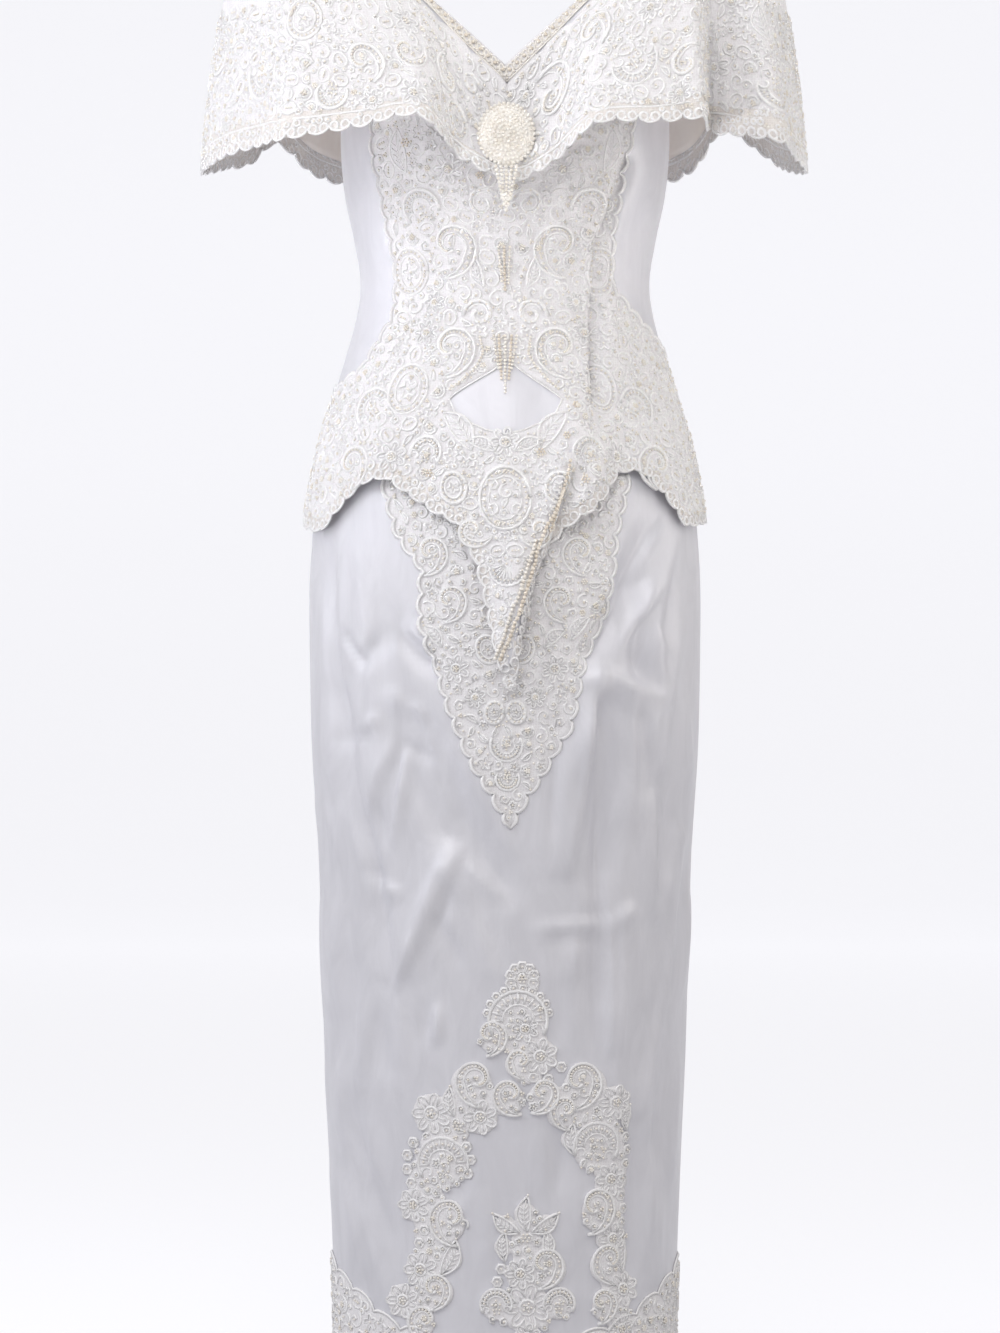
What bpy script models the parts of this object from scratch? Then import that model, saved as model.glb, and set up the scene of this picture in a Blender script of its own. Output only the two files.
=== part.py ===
"""White satin wedding dress with a cape collar, a pointed basque and corded lace.

Every piece that is cut and sewn is one closed wall.  Each is drawn flat on the grid of the surface
that it belongs to (columns are turns around the body, rows are levels down it), cut from a thin
slab by its outline, and wrapped onto that surface.  What lies on a panel is wrapped on the same
grid, further out, so the layers stay parallel and 0.3 mm apart.

Metres, +Z up, the front faces -Y.  The origin is midway between the two shoulder rests.  Left and
right are the wearer's, so left is +X.
"""

import bisect
import math
from collections import namedtuple

import bmesh
import bpy
from mathutils import Matrix, Vector

# Cloth
WALL = 0.0015
LACE = 0.0012
EDGING = 0.0026
GAP = 0.0003
SEAM = 0.012                # part of a column left open at each side of a seam
SEAM_EXCESS = 2.0           # a pattern passes its seams by this turn before the seams trim it
TURN_STEP = 0.5             # steps by which slopes are measured, in turn and in level
LEVEL_STEP = 0.003
SNAP = 0.02                 # outline points this near a grid line, in cells, are put on it

# Heights
HEM_Z = -1.400
WAIST_SEAM_Z = -0.405
LACE_HEM_Z = -1.396

# Neckline and bodice top, on the bodice's surface
NECK_FRONT_DROP = 0.1745
NECK_FRONT_CURVE = 0.8
NECK_BACK_DROP = 0.165
NECK_EASE = 0.0008          # between the bodice and the collar's neck edge
TOP_TUCK = 0.002            # the bodice ends this far below the collar's neck edge
LACE_TUCK = 0.017           # and its lace this far below
ARMPIT_Z = -0.180
FRONT_TOP_TURN = 47.0       # where the bodice's top leaves the neckline
BACK_TOP_TURN = 136.0
ARMPIT_TURN = 90.0

# Bust cups
CUP_RISE = 0.014
CUP_X = 0.075
CUP_Z = -0.190
CUP_SIZE = 0.045

# Lace edges
SCALLOP_PITCH = 0.0195
SCALLOP_DEPTH = 0.0062
BASQUE_DEPTH = 0.0040
SMALL_PITCH = 0.019
SMALL_DEPTH = 0.005
BASQUE_LIFT = 0.008         # the satin ends this far above the lace's hem

# Collar
COLLAR_SATIN_REACH = 0.984  # part of the way from neck to hem
EDGING_WIDTH = 0.014

# Closing strip at the back
PLACKET_HALF_TURN = 7.0
PLACKET_TOP_Z = -0.184
PLACKET_BOTTOM_Z = -0.398

# Window of bare satin in the bodice lace
WINDOW_HALF_WIDTH = 0.050
WINDOW_HALF_HEIGHT = 0.033
WINDOW_Z = -0.466

# Medallion at the middle of the collar
MEDALLION_X = 0.001
MEDALLION_Z = -0.2360
MEDALLION_HALF_WIDTH = 0.0250
MEDALLION_HALF_HEIGHT = 0.0272
MEDALLION_RIBS = 16

# Bead tassel below the medallion
TASSEL_LENGTH = 0.040
TASSEL_WIDTH = 0.018
TASSEL_STRANDS = 5
TASSEL_BAR = Vector((0.022, 0.0036, 0.003))
TASSEL_STRAND_RADIUS = 0.0014
TASSEL_GATHER = 0.62        # part of the width by which the strands draw together

Section = namedtuple("Section", "z half_width front back")
Fold = namedtuple("Fold", "face x_top z_top x_bottom z_bottom width rise")
Station = namedtuple("Station", "turn x y z roundness")
Wave = namedtuple("Wave", "turn width rise")
EdgePoint = namedtuple("EdgePoint", "turn z")
ReachPoint = namedtuple("ReachPoint", "turn reach")
BandPoint = namedtuple("BandPoint", "x z half_width")
ShapePoint = namedtuple("ShapePoint", "x z")
Rib = namedtuple("Rib", "radius height")
ScallopPoint = namedtuple("ScallopPoint", "part rise")

BODICE_SECTIONS = [
    Section(0.000, 0.1860, 0.0600, 0.0700),
    Section(-0.050, 0.1720, 0.0850, 0.0860),
    Section(-0.100, 0.1600, 0.1000, 0.0940),
    Section(-0.140, 0.1530, 0.1100, 0.0960),
    Section(-0.190, 0.1480, 0.1160, 0.0940),
    Section(-0.240, 0.1476, 0.1100, 0.0900),
    Section(-0.279, 0.1436, 0.1020, 0.0860),
    Section(-0.315, 0.1360, 0.0950, 0.0830),
    Section(-0.355, 0.1300, 0.0920, 0.0820),
    Section(-0.387, 0.1340, 0.0940, 0.0870),
    Section(-0.423, 0.1440, 0.1000, 0.0970),
    Section(-0.459, 0.1550, 0.1080, 0.1090),
    Section(-0.495, 0.1660, 0.1160, 0.1180),
    Section(-0.531, 0.1740, 0.1220, 0.1250),
    Section(-0.567, 0.1800, 0.1270, 0.1310),
    Section(-0.620, 0.1830, 0.1320, 0.1340),
    Section(-0.740, 0.1830, 0.1350, 0.1340),
]

SKIRT_SECTIONS = [
    Section(-0.405, 0.1365, 0.0950, 0.0900),
    Section(-0.450, 0.1470, 0.0960, 0.0990),
    Section(-0.500, 0.1610, 0.1060, 0.1110),
    Section(-0.549, 0.1700, 0.1140, 0.1190),
    Section(-0.600, 0.1746, 0.1180, 0.1240),
    Section(-0.639, 0.1760, 0.1200, 0.1240),
    Section(-0.700, 0.1755, 0.1200, 0.1220),
    Section(-0.774, 0.1737, 0.1180, 0.1180),
    Section(-0.864, 0.1680, 0.1155, 0.1135),
    Section(-0.954, 0.1650, 0.1140, 0.1100),
    Section(-1.044, 0.1625, 0.1125, 0.1070),
    Section(-1.134, 0.1585, 0.1110, 0.1050),
    Section(-1.224, 0.1550, 0.1100, 0.1040),
    Section(-1.296, 0.1530, 0.1100, 0.1040),
    Section(-1.400, 0.1500, 0.1110, 0.1050),
]

# Soft folds: ridges rise out of the cloth, troughs have a negative rise
BODICE_FOLDS = [
    Fold("front", 0.112, -0.235, 0.094, -0.325, 0.011, -0.004),
    Fold("front", 0.074, -0.365, 0.083, -0.480, 0.010, -0.005),
    Fold("front", 0.056, -0.470, 0.074, -0.575, 0.016, 0.009),
    Fold("front", 0.100, -0.480, 0.118, -0.575, 0.012, -0.004),
    Fold("front", -0.104, -0.470, -0.118, -0.575, 0.014, 0.005),
    Fold("front", -0.066, -0.490, -0.074, -0.560, 0.012, -0.004),
    Fold("front", 0.004, -0.560, 0.012, -0.720, 0.012, 0.006),
    Fold("front", 0.030, -0.560, 0.022, -0.640, 0.010, -0.004),
    Fold("back", -0.070, -0.450, -0.082, -0.560, 0.016, 0.007),
    Fold("back", 0.062, -0.460, 0.078, -0.560, 0.015, 0.006),
    Fold("back", 0.112, -0.470, 0.128, -0.560, 0.013, -0.004),
    Fold("back", -0.024, -0.470, -0.028, -0.560, 0.013, -0.004),
]

SKIRT_FOLDS = [
    Fold("front", -0.157, -0.590, -0.141, -0.763, 0.010, -0.006),
    Fold("front", -0.141, -0.763, -0.098, -0.975, 0.012, -0.006),
    Fold("front", -0.128, -0.600, -0.112, -0.760, 0.016, 0.006),
    Fold("front", -0.094, -0.650, -0.057, -0.717, 0.014, -0.005),
    Fold("front", -0.051, -0.865, -0.093, -0.972, 0.012, 0.006),
    Fold("front", -0.092, -0.775, -0.020, -0.905, 0.018, -0.004),
    Fold("front", 0.080, -0.697, 0.066, -0.790, 0.012, 0.006),
    Fold("front", 0.086, -0.740, 0.088, -0.990, 0.013, -0.006),
    Fold("front", 0.152, -0.570, 0.126, -0.690, 0.014, 0.006),
    Fold("front", 0.108, -0.610, 0.126, -0.715, 0.013, -0.006),
    Fold("front", 0.104, -0.920, 0.092, -1.120, 0.016, 0.006),
    Fold("front", 0.136, -0.800, 0.132, -1.160, 0.011, -0.005),
    Fold("front", -0.128, -1.180, -0.090, -1.290, 0.016, 0.005),
    Fold("back", -0.120, -0.640, -0.104, -0.930, 0.016, -0.006),
    Fold("back", -0.060, -0.660, -0.084, -1.050, 0.018, 0.006),
    Fold("back", 0.034, -0.620, 0.060, -0.900, 0.016, -0.005),
    Fold("back", 0.104, -0.650, 0.080, -1.010, 0.018, 0.007),
    Fold("back", 0.020, -1.000, -0.026, -1.300, 0.018, 0.005),
    Fold("back", -0.118, -1.060, -0.104, -1.330, 0.016, 0.005),
    Fold("back", 0.122, -1.040, 0.110, -1.310, 0.015, -0.005),
]

# The collar's hem, all round, and how round the cloth falls between neck and hem
COLLAR_STATIONS = [
    Station(-180, 0.000, 0.142, -0.254, 0.35),
    Station(-150, -0.112, 0.150, -0.250, 0.50),
    Station(-137, -0.158, 0.146, -0.243, 0.75),
    Station(-130, -0.186, 0.132, -0.234, 0.80),
    Station(-124, -0.212, 0.116, -0.210, 0.85),
    Station(-118, -0.230, 0.101, -0.230, 0.90),
    Station(-112, -0.246, 0.082, -0.235, 0.95),
    Station(-90, -0.272, -0.005, -0.250, 1.00),
    Station(-75, -0.235, -0.095, -0.240, 0.90),
    Station(-60, -0.180, -0.150, -0.236, 0.70),
    Station(-45, -0.125, -0.168, -0.228, 0.50),
    Station(-30, -0.076, -0.166, -0.220, 0.30),
    Station(-15, -0.036, -0.138, -0.252, 0.20),
    Station(0, 0.006, -0.131, -0.270, 0.10),
    Station(15, 0.040, -0.140, -0.256, 0.20),
    Station(30, 0.080, -0.165, -0.226, 0.30),
    Station(45, 0.130, -0.168, -0.224, 0.50),
    Station(58, 0.168, -0.150, -0.220, 0.70),
    Station(66, 0.188, -0.112, -0.222, 0.80),
    Station(74, 0.232, -0.105, -0.234, 0.90),
    Station(90, 0.270, -0.010, -0.249, 1.00),
    Station(112, 0.246, 0.082, -0.234, 0.95),
    Station(118, 0.228, 0.101, -0.217, 0.90),
    Station(124, 0.204, 0.120, -0.196, 0.85),
    Station(130, 0.182, 0.133, -0.229, 0.80),
    Station(137, 0.157, 0.146, -0.241, 0.75),
    Station(150, 0.114, 0.150, -0.249, 0.50),
    Station(180, 0.000, 0.142, -0.254, 0.35),
]

COLLAR_WAVES = [
    Wave(-165, 7, -0.006),
    Wave(-148, 7, 0.008),
    Wave(-130, 7, -0.008),
    Wave(-115, 7, 0.008),
    Wave(-72, 5, -0.008),
    Wave(-62, 5, 0.008),
    Wave(-27, 5, 0.010),
    Wave(-18, 4, -0.008),
    Wave(18, 4, -0.006),
    Wave(28, 5, 0.008),
    Wave(56, 4, 0.008),
    Wave(66, 4, -0.022),
    Wave(76, 4, 0.008),
    Wave(115, 7, 0.008),
    Wave(130, 7, -0.008),
    Wave(148, 7, 0.008),
    Wave(165, 7, -0.006),
]

# Hem of the basque, by turn
BASQUE_HEM = [
    EdgePoint(-180, -0.562),
    EdgePoint(-160, -0.556),
    EdgePoint(-140, -0.542),
    EdgePoint(-122, -0.532),
    EdgePoint(-105, -0.550),
    EdgePoint(-90, -0.567),
    EdgePoint(-64, -0.576),
    EdgePoint(-46, -0.535),
    EdgePoint(-36, -0.530),
    EdgePoint(-21, -0.559),
    EdgePoint(-13, -0.571),
    EdgePoint(-7.1, -0.606),
    EdgePoint(-4.3, -0.6405),
    EdgePoint(-2.0, -0.680),
    EdgePoint(1.3, -0.7165),
    EdgePoint(4.6, -0.660),
    EdgePoint(8.0, -0.612),
    EdgePoint(16.0, -0.577),
    EdgePoint(28.0, -0.547),
    EdgePoint(35.0, -0.524),
    EdgePoint(45.0, -0.524),
    EdgePoint(54.0, -0.547),
    EdgePoint(62.5, -0.571),
    EdgePoint(90, -0.565),
    EdgePoint(105, -0.549),
    EdgePoint(122, -0.531),
    EdgePoint(140, -0.543),
    EdgePoint(160, -0.557),
    EdgePoint(180, -0.562),
]

# Edge of the bodice lace where bare satin begins, down the front and over the hips
LACE_EDGE_LEFT = [
    EdgePoint(47, -0.082),
    EdgePoint(46, -0.130),
    EdgePoint(49, -0.200),
    EdgePoint(47, -0.270),
    EdgePoint(43, -0.320),
    EdgePoint(45, -0.365),
    EdgePoint(62, -0.395),
    EdgePoint(78, -0.414),
    EdgePoint(94, -0.424),
]
LACE_EDGE_RIGHT = [
    EdgePoint(-47, -0.082),
    EdgePoint(-50, -0.130),
    EdgePoint(-52, -0.200),
    EdgePoint(-50, -0.270),
    EdgePoint(-47, -0.330),
    EdgePoint(-46, -0.390),
    EdgePoint(-58, -0.436),
    EdgePoint(-76, -0.452),
    EdgePoint(-94, -0.452),
]
LACE_EDGE_BACK_Z = -0.446

# Upper edge of the collar lace, as a part of the way from neck to hem
COLLAR_LACE_TOP = [
    ReachPoint(0, 0.20),
    ReachPoint(18, 0.20),
    ReachPoint(34, 0.17),
    ReachPoint(48, 0.30),
    ReachPoint(62, 0.36),
    ReachPoint(78, 0.46),
    ReachPoint(95, 0.54),
    ReachPoint(120, 0.52),
    ReachPoint(150, 0.36),
    ReachPoint(180, 0.28),
]

# Lace point on the skirt below the basque
SKIRT_POINT_RIGHT = [
    ShapePoint(-0.100, -0.553),
    ShapePoint(-0.092, -0.582),
    ShapePoint(-0.070, -0.612),
    ShapePoint(-0.072, -0.658),
    ShapePoint(-0.057, -0.704),
    ShapePoint(-0.045, -0.739),
    ShapePoint(-0.028, -0.780),
    ShapePoint(-0.010, -0.809),
    ShapePoint(0.004, -0.835),
]
SKIRT_POINT_LEFT = [
    ShapePoint(0.004, -0.835),
    ShapePoint(0.018, -0.809),
    ShapePoint(0.038, -0.780),
    ShapePoint(0.054, -0.751),
    ShapePoint(0.063, -0.704),
    ShapePoint(0.089, -0.652),
    ShapePoint(0.094, -0.582),
    ShapePoint(0.103, -0.547),
]

# Lace of the lower skirt: spines with half-widths
FINIAL = [
    BandPoint(0.015, -0.957, 0.007),
    BandPoint(0.016, -0.982, 0.018),
    BandPoint(0.013, -1.004, 0.030),
    BandPoint(0.014, -1.022, 0.028),
    BandPoint(0.018, -1.044, 0.014),
    BandPoint(0.018, -1.058, 0.012),
]
ARM_RIGHT = [
    BandPoint(0.000, -1.074, 0.010),
    BandPoint(-0.024, -1.080, 0.018),
    BandPoint(-0.041, -1.098, 0.024),
    BandPoint(-0.056, -1.120, 0.022),
    BandPoint(-0.069, -1.145, 0.024),
    BandPoint(-0.068, -1.178, 0.018),
    BandPoint(-0.066, -1.208, 0.020),
    BandPoint(-0.076, -1.244, 0.016),
]
ARM_LEFT = [
    BandPoint(0.036, -1.074, 0.010),
    BandPoint(0.062, -1.080, 0.018),
    BandPoint(0.077, -1.098, 0.024),
    BandPoint(0.087, -1.120, 0.021),
    BandPoint(0.094, -1.146, 0.023),
    BandPoint(0.097, -1.176, 0.017),
    BandPoint(0.097, -1.208, 0.021),
    BandPoint(0.101, -1.246, 0.015),
]
SPRAY = [
    BandPoint(0.018, -1.168, 0.008),
    BandPoint(0.019, -1.190, 0.016),
    BandPoint(0.024, -1.216, 0.015),
    BandPoint(0.016, -1.240, 0.018),
    BandPoint(0.018, -1.262, 0.032),
    BandPoint(0.020, -1.278, 0.030),
]
HEM_LACE_TOP = [
    EdgePoint(-180, -1.292),
    EdgePoint(-150, -1.280),
    EdgePoint(-120, -1.262),
    EdgePoint(-90, -1.226),
    EdgePoint(-62, -1.250),
    EdgePoint(-40, -1.280),
    EdgePoint(-20, -1.292),
    EdgePoint(0, -1.296),
    EdgePoint(22, -1.292),
    EdgePoint(42, -1.280),
    EdgePoint(64, -1.252),
    EdgePoint(90, -1.228),
    EdgePoint(120, -1.262),
    EdgePoint(150, -1.280),
    EdgePoint(180, -1.292),
]

# One scallop: how far along its pitch, and how far out of its depth
SCALLOP_SHAPE = [ScallopPoint(0.0, 0.0), ScallopPoint(0.28, 1.0), ScallopPoint(0.72, 1.0)]

MEDALLION_PROFILE = [
    Rib(1.00, 0.0012),
    Rib(0.93, 0.0046),
    Rib(0.80, 0.0052),
    Rib(0.60, 0.0074),
    Rib(0.36, 0.0088),
    Rib(0.18, 0.0080),
]

FRONT_STEP = 7.5
BACK_STEP = 9
BACK_TURNS = list(range(-180, -90, BACK_STEP))
FRONT_TURNS = [FRONT_STEP * k for k in range(-12, 13)]
BODY_TURNS = BACK_TURNS + FRONT_TURNS + [-turn for turn in reversed(BACK_TURNS)]
GROOVE_TURNS = [57, 61.5, 66, 70.5, 75, 79]
CAPE_TURNS = [97.5, 105, 112, 118, 124, 128, 133, 138, 144, 153, 162, 171, 180]
COLLAR_TURNS = sorted(
    set(FRONT_TURNS) - {60, 67.5} | set(GROOVE_TURNS) | set(CAPE_TURNS) | {-turn for turn in CAPE_TURNS}
)
BODICE_LEVELS = [
    0.0, -0.04, -0.08, -0.12, -0.16, -0.20, -0.24, -0.28, -0.32, -0.36, -0.405, -0.45, -0.495,
    -0.54, -0.585, -0.65, -0.725,
]
SKIRT_LEVELS = [
    -0.405, -0.45, -0.50, -0.56, -0.63, -0.70, -0.78, -0.87, -0.97, -1.07, -1.17, -1.28, HEM_Z,
]
COLLAR_LEVELS = [0.0, 0.13, 0.30, 0.48, 0.66, 0.83, COLLAR_SATIN_REACH, 1.08]


def smooth(at, xs, ys):
    """Return the value at `at` of a smooth line through the points (xs rising)."""
    if at <= xs[0]:
        return ys[0]
    if at >= xs[-1]:
        return ys[-1]
    k = bisect.bisect_right(xs, at) - 1
    span = xs[k + 1] - xs[k]
    before = max(k - 1, 0)
    after = min(k + 2, len(xs) - 1)
    slope_in = (ys[k + 1] - ys[before]) / (xs[k + 1] - xs[before])
    slope_out = (ys[after] - ys[k]) / (xs[after] - xs[k])
    f = (at - xs[k]) / span
    start = (1 + 2 * f) * (1 - f) ** 2 * ys[k] + f * (1 - f) ** 2 * span * slope_in
    end = f * f * (3 - 2 * f) * ys[k + 1] + f * f * (f - 1) * span * slope_out
    return start + end


def straight(at, xs, ys):
    """Return the value at `at` of straight lines through the points (xs rising)."""
    if at <= xs[0]:
        return ys[0]
    if at >= xs[-1]:
        return ys[-1]
    k = bisect.bisect_right(xs, at) - 1
    f = (at - xs[k]) / (xs[k + 1] - xs[k])
    return ys[k] + f * (ys[k + 1] - ys[k])


def column(table, name):
    """Return one named column of a table."""
    return [getattr(row, name) for row in table]


def fold_rise(folds, x, y, z):
    """Return how far the folds lift the cloth at a point of a body surface."""
    total = 0.0
    face = "front" if y < 0 else "back"
    for fold in folds:
        if fold.face != face:
            continue
        run = Vector((fold.x_bottom - fold.x_top, fold.z_bottom - fold.z_top))
        away = Vector((x - fold.x_top, z - fold.z_top))
        along = min(max(away.dot(run) / run.length_squared, 0.0), 1.0)
        distance = (away - run * along).length
        total += fold.rise * math.exp(-(distance / fold.width) ** 2)
    return total


def body_point(sections, folds, turn, z):
    """Return the point of a body surface at a turn (degrees from centre front) and height."""
    depth = [-level for level in column(sections, "z")]
    half_width = smooth(-z, depth, column(sections, "half_width"))
    front = math.cos(math.radians(turn)) > 0
    half_depth = smooth(-z, depth, column(sections, "front" if front else "back"))
    x = half_width * math.sin(math.radians(turn))
    y = -half_depth * math.cos(math.radians(turn))
    reach = Vector((x, y, 0)).normalized()
    return Vector((x, y, z)) + reach * fold_rise(folds, x, y, z)


def bodice_point(turn, z):
    """Return a point of the bodice's outer satin, with the cups of its cut."""
    point = body_point(BODICE_SECTIONS, BODICE_FOLDS, turn, z)
    if abs(turn) < 90:
        away = math.hypot(abs(point.x) - CUP_X, z - CUP_Z) / CUP_SIZE
        point.y -= CUP_RISE * math.exp(-away * away)
    return point


def skirt_point(turn, z):
    """Return a point of the skirt's outer satin; its top edge lies inside the bodice."""
    point = body_point(SKIRT_SECTIONS, SKIRT_FOLDS, turn, z)
    if z > WAIST_SEAM_Z - 0.001:
        inside = bodice_point(turn, WAIST_SEAM_Z)
        inside -= outward(bodice_point, turn, WAIST_SEAM_Z) * (WALL + GAP)
        return Vector((inside.x, inside.y, z))
    return point


def outward(point, u, v):
    """Return the unit normal of a surface, away from the body."""
    along_u = point(u + TURN_STEP, v) - point(u - TURN_STEP, v)
    along_v = point(u, v - LEVEL_STEP) - point(u, v + LEVEL_STEP)
    if point is collar_point:
        along_v.negate()
    return along_v.cross(along_u).normalized()


def neck_z(turn):
    """Return the height of the neckline at a turn."""
    rise = 1.0 - abs(math.sin(math.radians(turn)))
    if abs(turn) <= 90:
        return -NECK_FRONT_DROP * rise ** NECK_FRONT_CURVE
    return -NECK_BACK_DROP * rise


def collar_point(turn, reach):
    """Return a point of the collar's outer satin; reach runs from 0 at the neck to 1 at the hem."""
    wrapped = (turn + 180) % 360 - 180
    turns = column(COLLAR_STATIONS, "turn")
    hem = Vector([smooth(wrapped, turns, column(COLLAR_STATIONS, axis)) for axis in ("x", "y", "z")])
    roundness = smooth(wrapped, turns, column(COLLAR_STATIONS, "roundness"))
    level = neck_z(wrapped)
    neck = bodice_point(wrapped, level)
    neck += outward(bodice_point, wrapped, level) * (NECK_EASE + WALL)
    out = Vector((hem.x - neck.x, hem.y - neck.y, 0))
    drop = Vector((0, 0, neck.z - hem.z))
    shoulder = neck + out * (0.55 + 0.14 * roundness) - drop * (0.30 - 0.32 * roundness)
    fall = hem - out * (0.25 - 0.135 * roundness) + drop * (0.30 + 0.14 * roundness)
    rest = 1 - reach
    point = neck * rest ** 3 + shoulder * 3 * rest ** 2 * reach
    point += fall * 3 * rest * reach ** 2 + hem * reach ** 3
    lift = 0.0
    for wave in COLLAR_WAVES:
        lift += wave.rise * math.exp(-((wrapped - wave.turn) / wave.width) ** 2)
    return point + out.normalized() * lift * max(reach, 0.0) ** 1.5


class Form:
    """A surface on a grid of turns (columns) and levels (rows), with its normals."""

    def __init__(self, point, turns, levels):
        self.point = point
        self.turns = turns
        self.levels = levels
        self.spots = [[point(u, v) for v in levels] for u in turns]
        self.normals = [[outward(point, u, v) for v in levels] for u in turns]

    def cell(self, u, v):
        """Return the grid place (column, row) of a turn and level, put on a near grid line."""
        place = []
        for value, marks in ((u, self.turns), (v, self.levels)):
            rising = marks if marks[0] < marks[-1] else [-mark for mark in marks]
            value = value if marks[0] < marks[-1] else -value
            k = min(max(bisect.bisect_right(rising, value) - 1, 0), len(rising) - 2)
            spot = k + (value - rising[k]) / (rising[k + 1] - rising[k])
            place.append(round(spot) if abs(spot - round(spot)) < SNAP else spot)
        return place

    def wrap(self, column_at, row_at, height):
        """Return the point over a grid place, on the flat facets of the grid."""
        i = min(max(int(column_at), 0), len(self.turns) - 2)
        j = min(max(int(row_at), 0), len(self.levels) - 2)
        across = column_at - i
        down = row_at - j
        if across >= down:
            corners = ((i, j, 1 - across), (i + 1, j, across - down), (i + 1, j + 1, down))
        else:
            corners = ((i, j, 1 - down), (i, j + 1, down - across), (i + 1, j + 1, across))
        total = Vector((0, 0, 0))
        for a, b, share in corners:
            total += (self.spots[a][b] + self.normals[a][b] * height) * share
        return total

    def per_metre(self, u, v):
        """Return how far one metre along the surface goes in turn and in level."""
        along_u = (self.point(u + TURN_STEP, v) - self.point(u - TURN_STEP, v)).length
        along_v = (self.point(u, v + LEVEL_STEP) - self.point(u, v - LEVEL_STEP)).length
        return 2 * TURN_STEP / along_u, 2 * LEVEL_STEP / along_v


def dense(path, pieces):
    """Return the path with each stretch cut into equal pieces."""
    points = []
    for start, end in zip(path, path[1:]):
        for k in range(pieces):
            f = k / pieces
            points.append((start[0] + (end[0] - start[0]) * f, start[1] + (end[1] - start[1]) * f))
    points.append(tuple(path[-1]))
    return points


def scalloped(form, path, pitch, depth):
    """Edge an open path (turn, level) with round scallops that stand out on its left."""
    fine = dense(path, 6)
    lengths = [0.0]
    for start, end in zip(fine, fine[1:]):
        scale_u, scale_v = form.per_metre(*start)
        lengths.append(lengths[-1] + math.hypot((end[0] - start[0]) / scale_u, (end[1] - start[1]) / scale_v))
    count = max(1, round(lengths[-1] / pitch))
    us = [point[0] for point in fine]
    vs = [point[1] for point in fine]
    edge = []
    for k in range(count):
        for part, rise in SCALLOP_SHAPE:
            at = lengths[-1] * (k + part) / count
            u = straight(at, lengths, us)
            v = straight(at, lengths, vs)
            near = lengths[-1] * 0.01
            du = straight(at + near, lengths, us) - straight(at - near, lengths, us)
            dv = straight(at + near, lengths, vs) - straight(at - near, lengths, vs)
            scale_u, scale_v = form.per_metre(u, v)
            side = Vector((-dv / scale_v, du / scale_u)).normalized()
            edge.append((u + side.x * depth * rise * scale_u, v + side.y * depth * rise * scale_v))
    edge.append(tuple(path[-1]))
    return edge


def front_turn(sections, x, z):
    """Return the turn on the front half at which a body surface has this x."""
    depth = [-level for level in column(sections, "z")]
    half_width = smooth(-z, depth, column(sections, "half_width"))
    return math.degrees(math.asin(max(-1.0, min(1.0, x / half_width))))


def on_skirt(shape):
    """Return an outline of (x, z) points as (turn, level) on the skirt's front."""
    return [(front_turn(SKIRT_SECTIONS, point[0], point[1]), point[1]) for point in shape]


def band(form, spine):
    """Return the scalloped outline of a lace band along a spine on the skirt's front."""
    left = []
    right = []
    for k, point in enumerate(spine):
        start = spine[max(k - 1, 0)]
        end = spine[min(k + 1, len(spine) - 1)]
        side = Vector((-(end.z - start.z), end.x - start.x)).normalized() * point.half_width
        left.append((point.x + side.x, point.z + side.y))
        right.append((point.x - side.x, point.z - side.y))
    loop = left + right[::-1]
    return scalloped(form, on_skirt(loop + [loop[0]]), SMALL_PITCH, SMALL_DEPTH)[:-1]


def new_collection(name):
    """Return a new collection in the scene."""
    collection = bpy.data.collections.new(name)
    bpy.context.scene.collection.children.link(collection)
    return collection


def new_material(name, colour, roughness, sheen=0.0):
    """Return a Principled material."""
    material = bpy.data.materials.new(name)
    material.use_nodes = True
    shader = material.node_tree.nodes["Principled BSDF"]
    shader.inputs["Base Color"].default_value = (*colour, 1.0)
    shader.inputs["Roughness"].default_value = roughness
    shader.inputs["Metallic"].default_value = 0.0
    shader.inputs["Sheen Weight"].default_value = sheen
    material.diffuse_color = (*colour, 1.0)
    return material


def link_object(name, mesh, collection):
    """Return a new object for the mesh, in the collection."""
    item = bpy.data.objects.new(name, mesh)
    collection.objects.link(item)
    return item


def face_out(work):
    """Turn all the faces of a closed mesh outwards."""
    bmesh.ops.recalc_face_normals(work, faces=work.faces)
    if work.calc_volume(signed=True) < 0:
        bmesh.ops.reverse_faces(work, faces=work.faces)


def pattern_cutter(form, loops, cutters):
    """Return a prism object over the flat pattern: the outline first, then its holes."""
    curve = bpy.data.curves.new("pattern", "CURVE")
    curve.dimensions = "2D"
    curve.fill_mode = "BOTH"
    curve.extrude = 1.0
    for loop in loops:
        spline = curve.splines.new("POLY")
        spline.points.add(len(loop) - 1)
        for spot, (u, v) in zip(spline.points, loop):
            i, j = form.cell(u, v)
            spot.co = (i, j, 0.0, 1.0)
        spline.use_cyclic_u = True
    drawn = link_object("pattern", curve, cutters)
    bpy.context.view_layer.update()
    evaluated = drawn.evaluated_get(bpy.context.evaluated_depsgraph_get())
    mesh = bpy.data.meshes.new_from_object(evaluated)
    bpy.data.objects.remove(drawn)
    work = bmesh.new()
    work.from_mesh(mesh)
    bmesh.ops.remove_doubles(work, verts=work.verts, dist=0.0001)
    face_out(work)
    work.to_mesh(mesh)
    work.free()
    cutter = link_object("pattern_prism", mesh, cutters)
    cutter.hide_render = True
    cutter.display_type = "WIRE"
    return cutter


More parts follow.
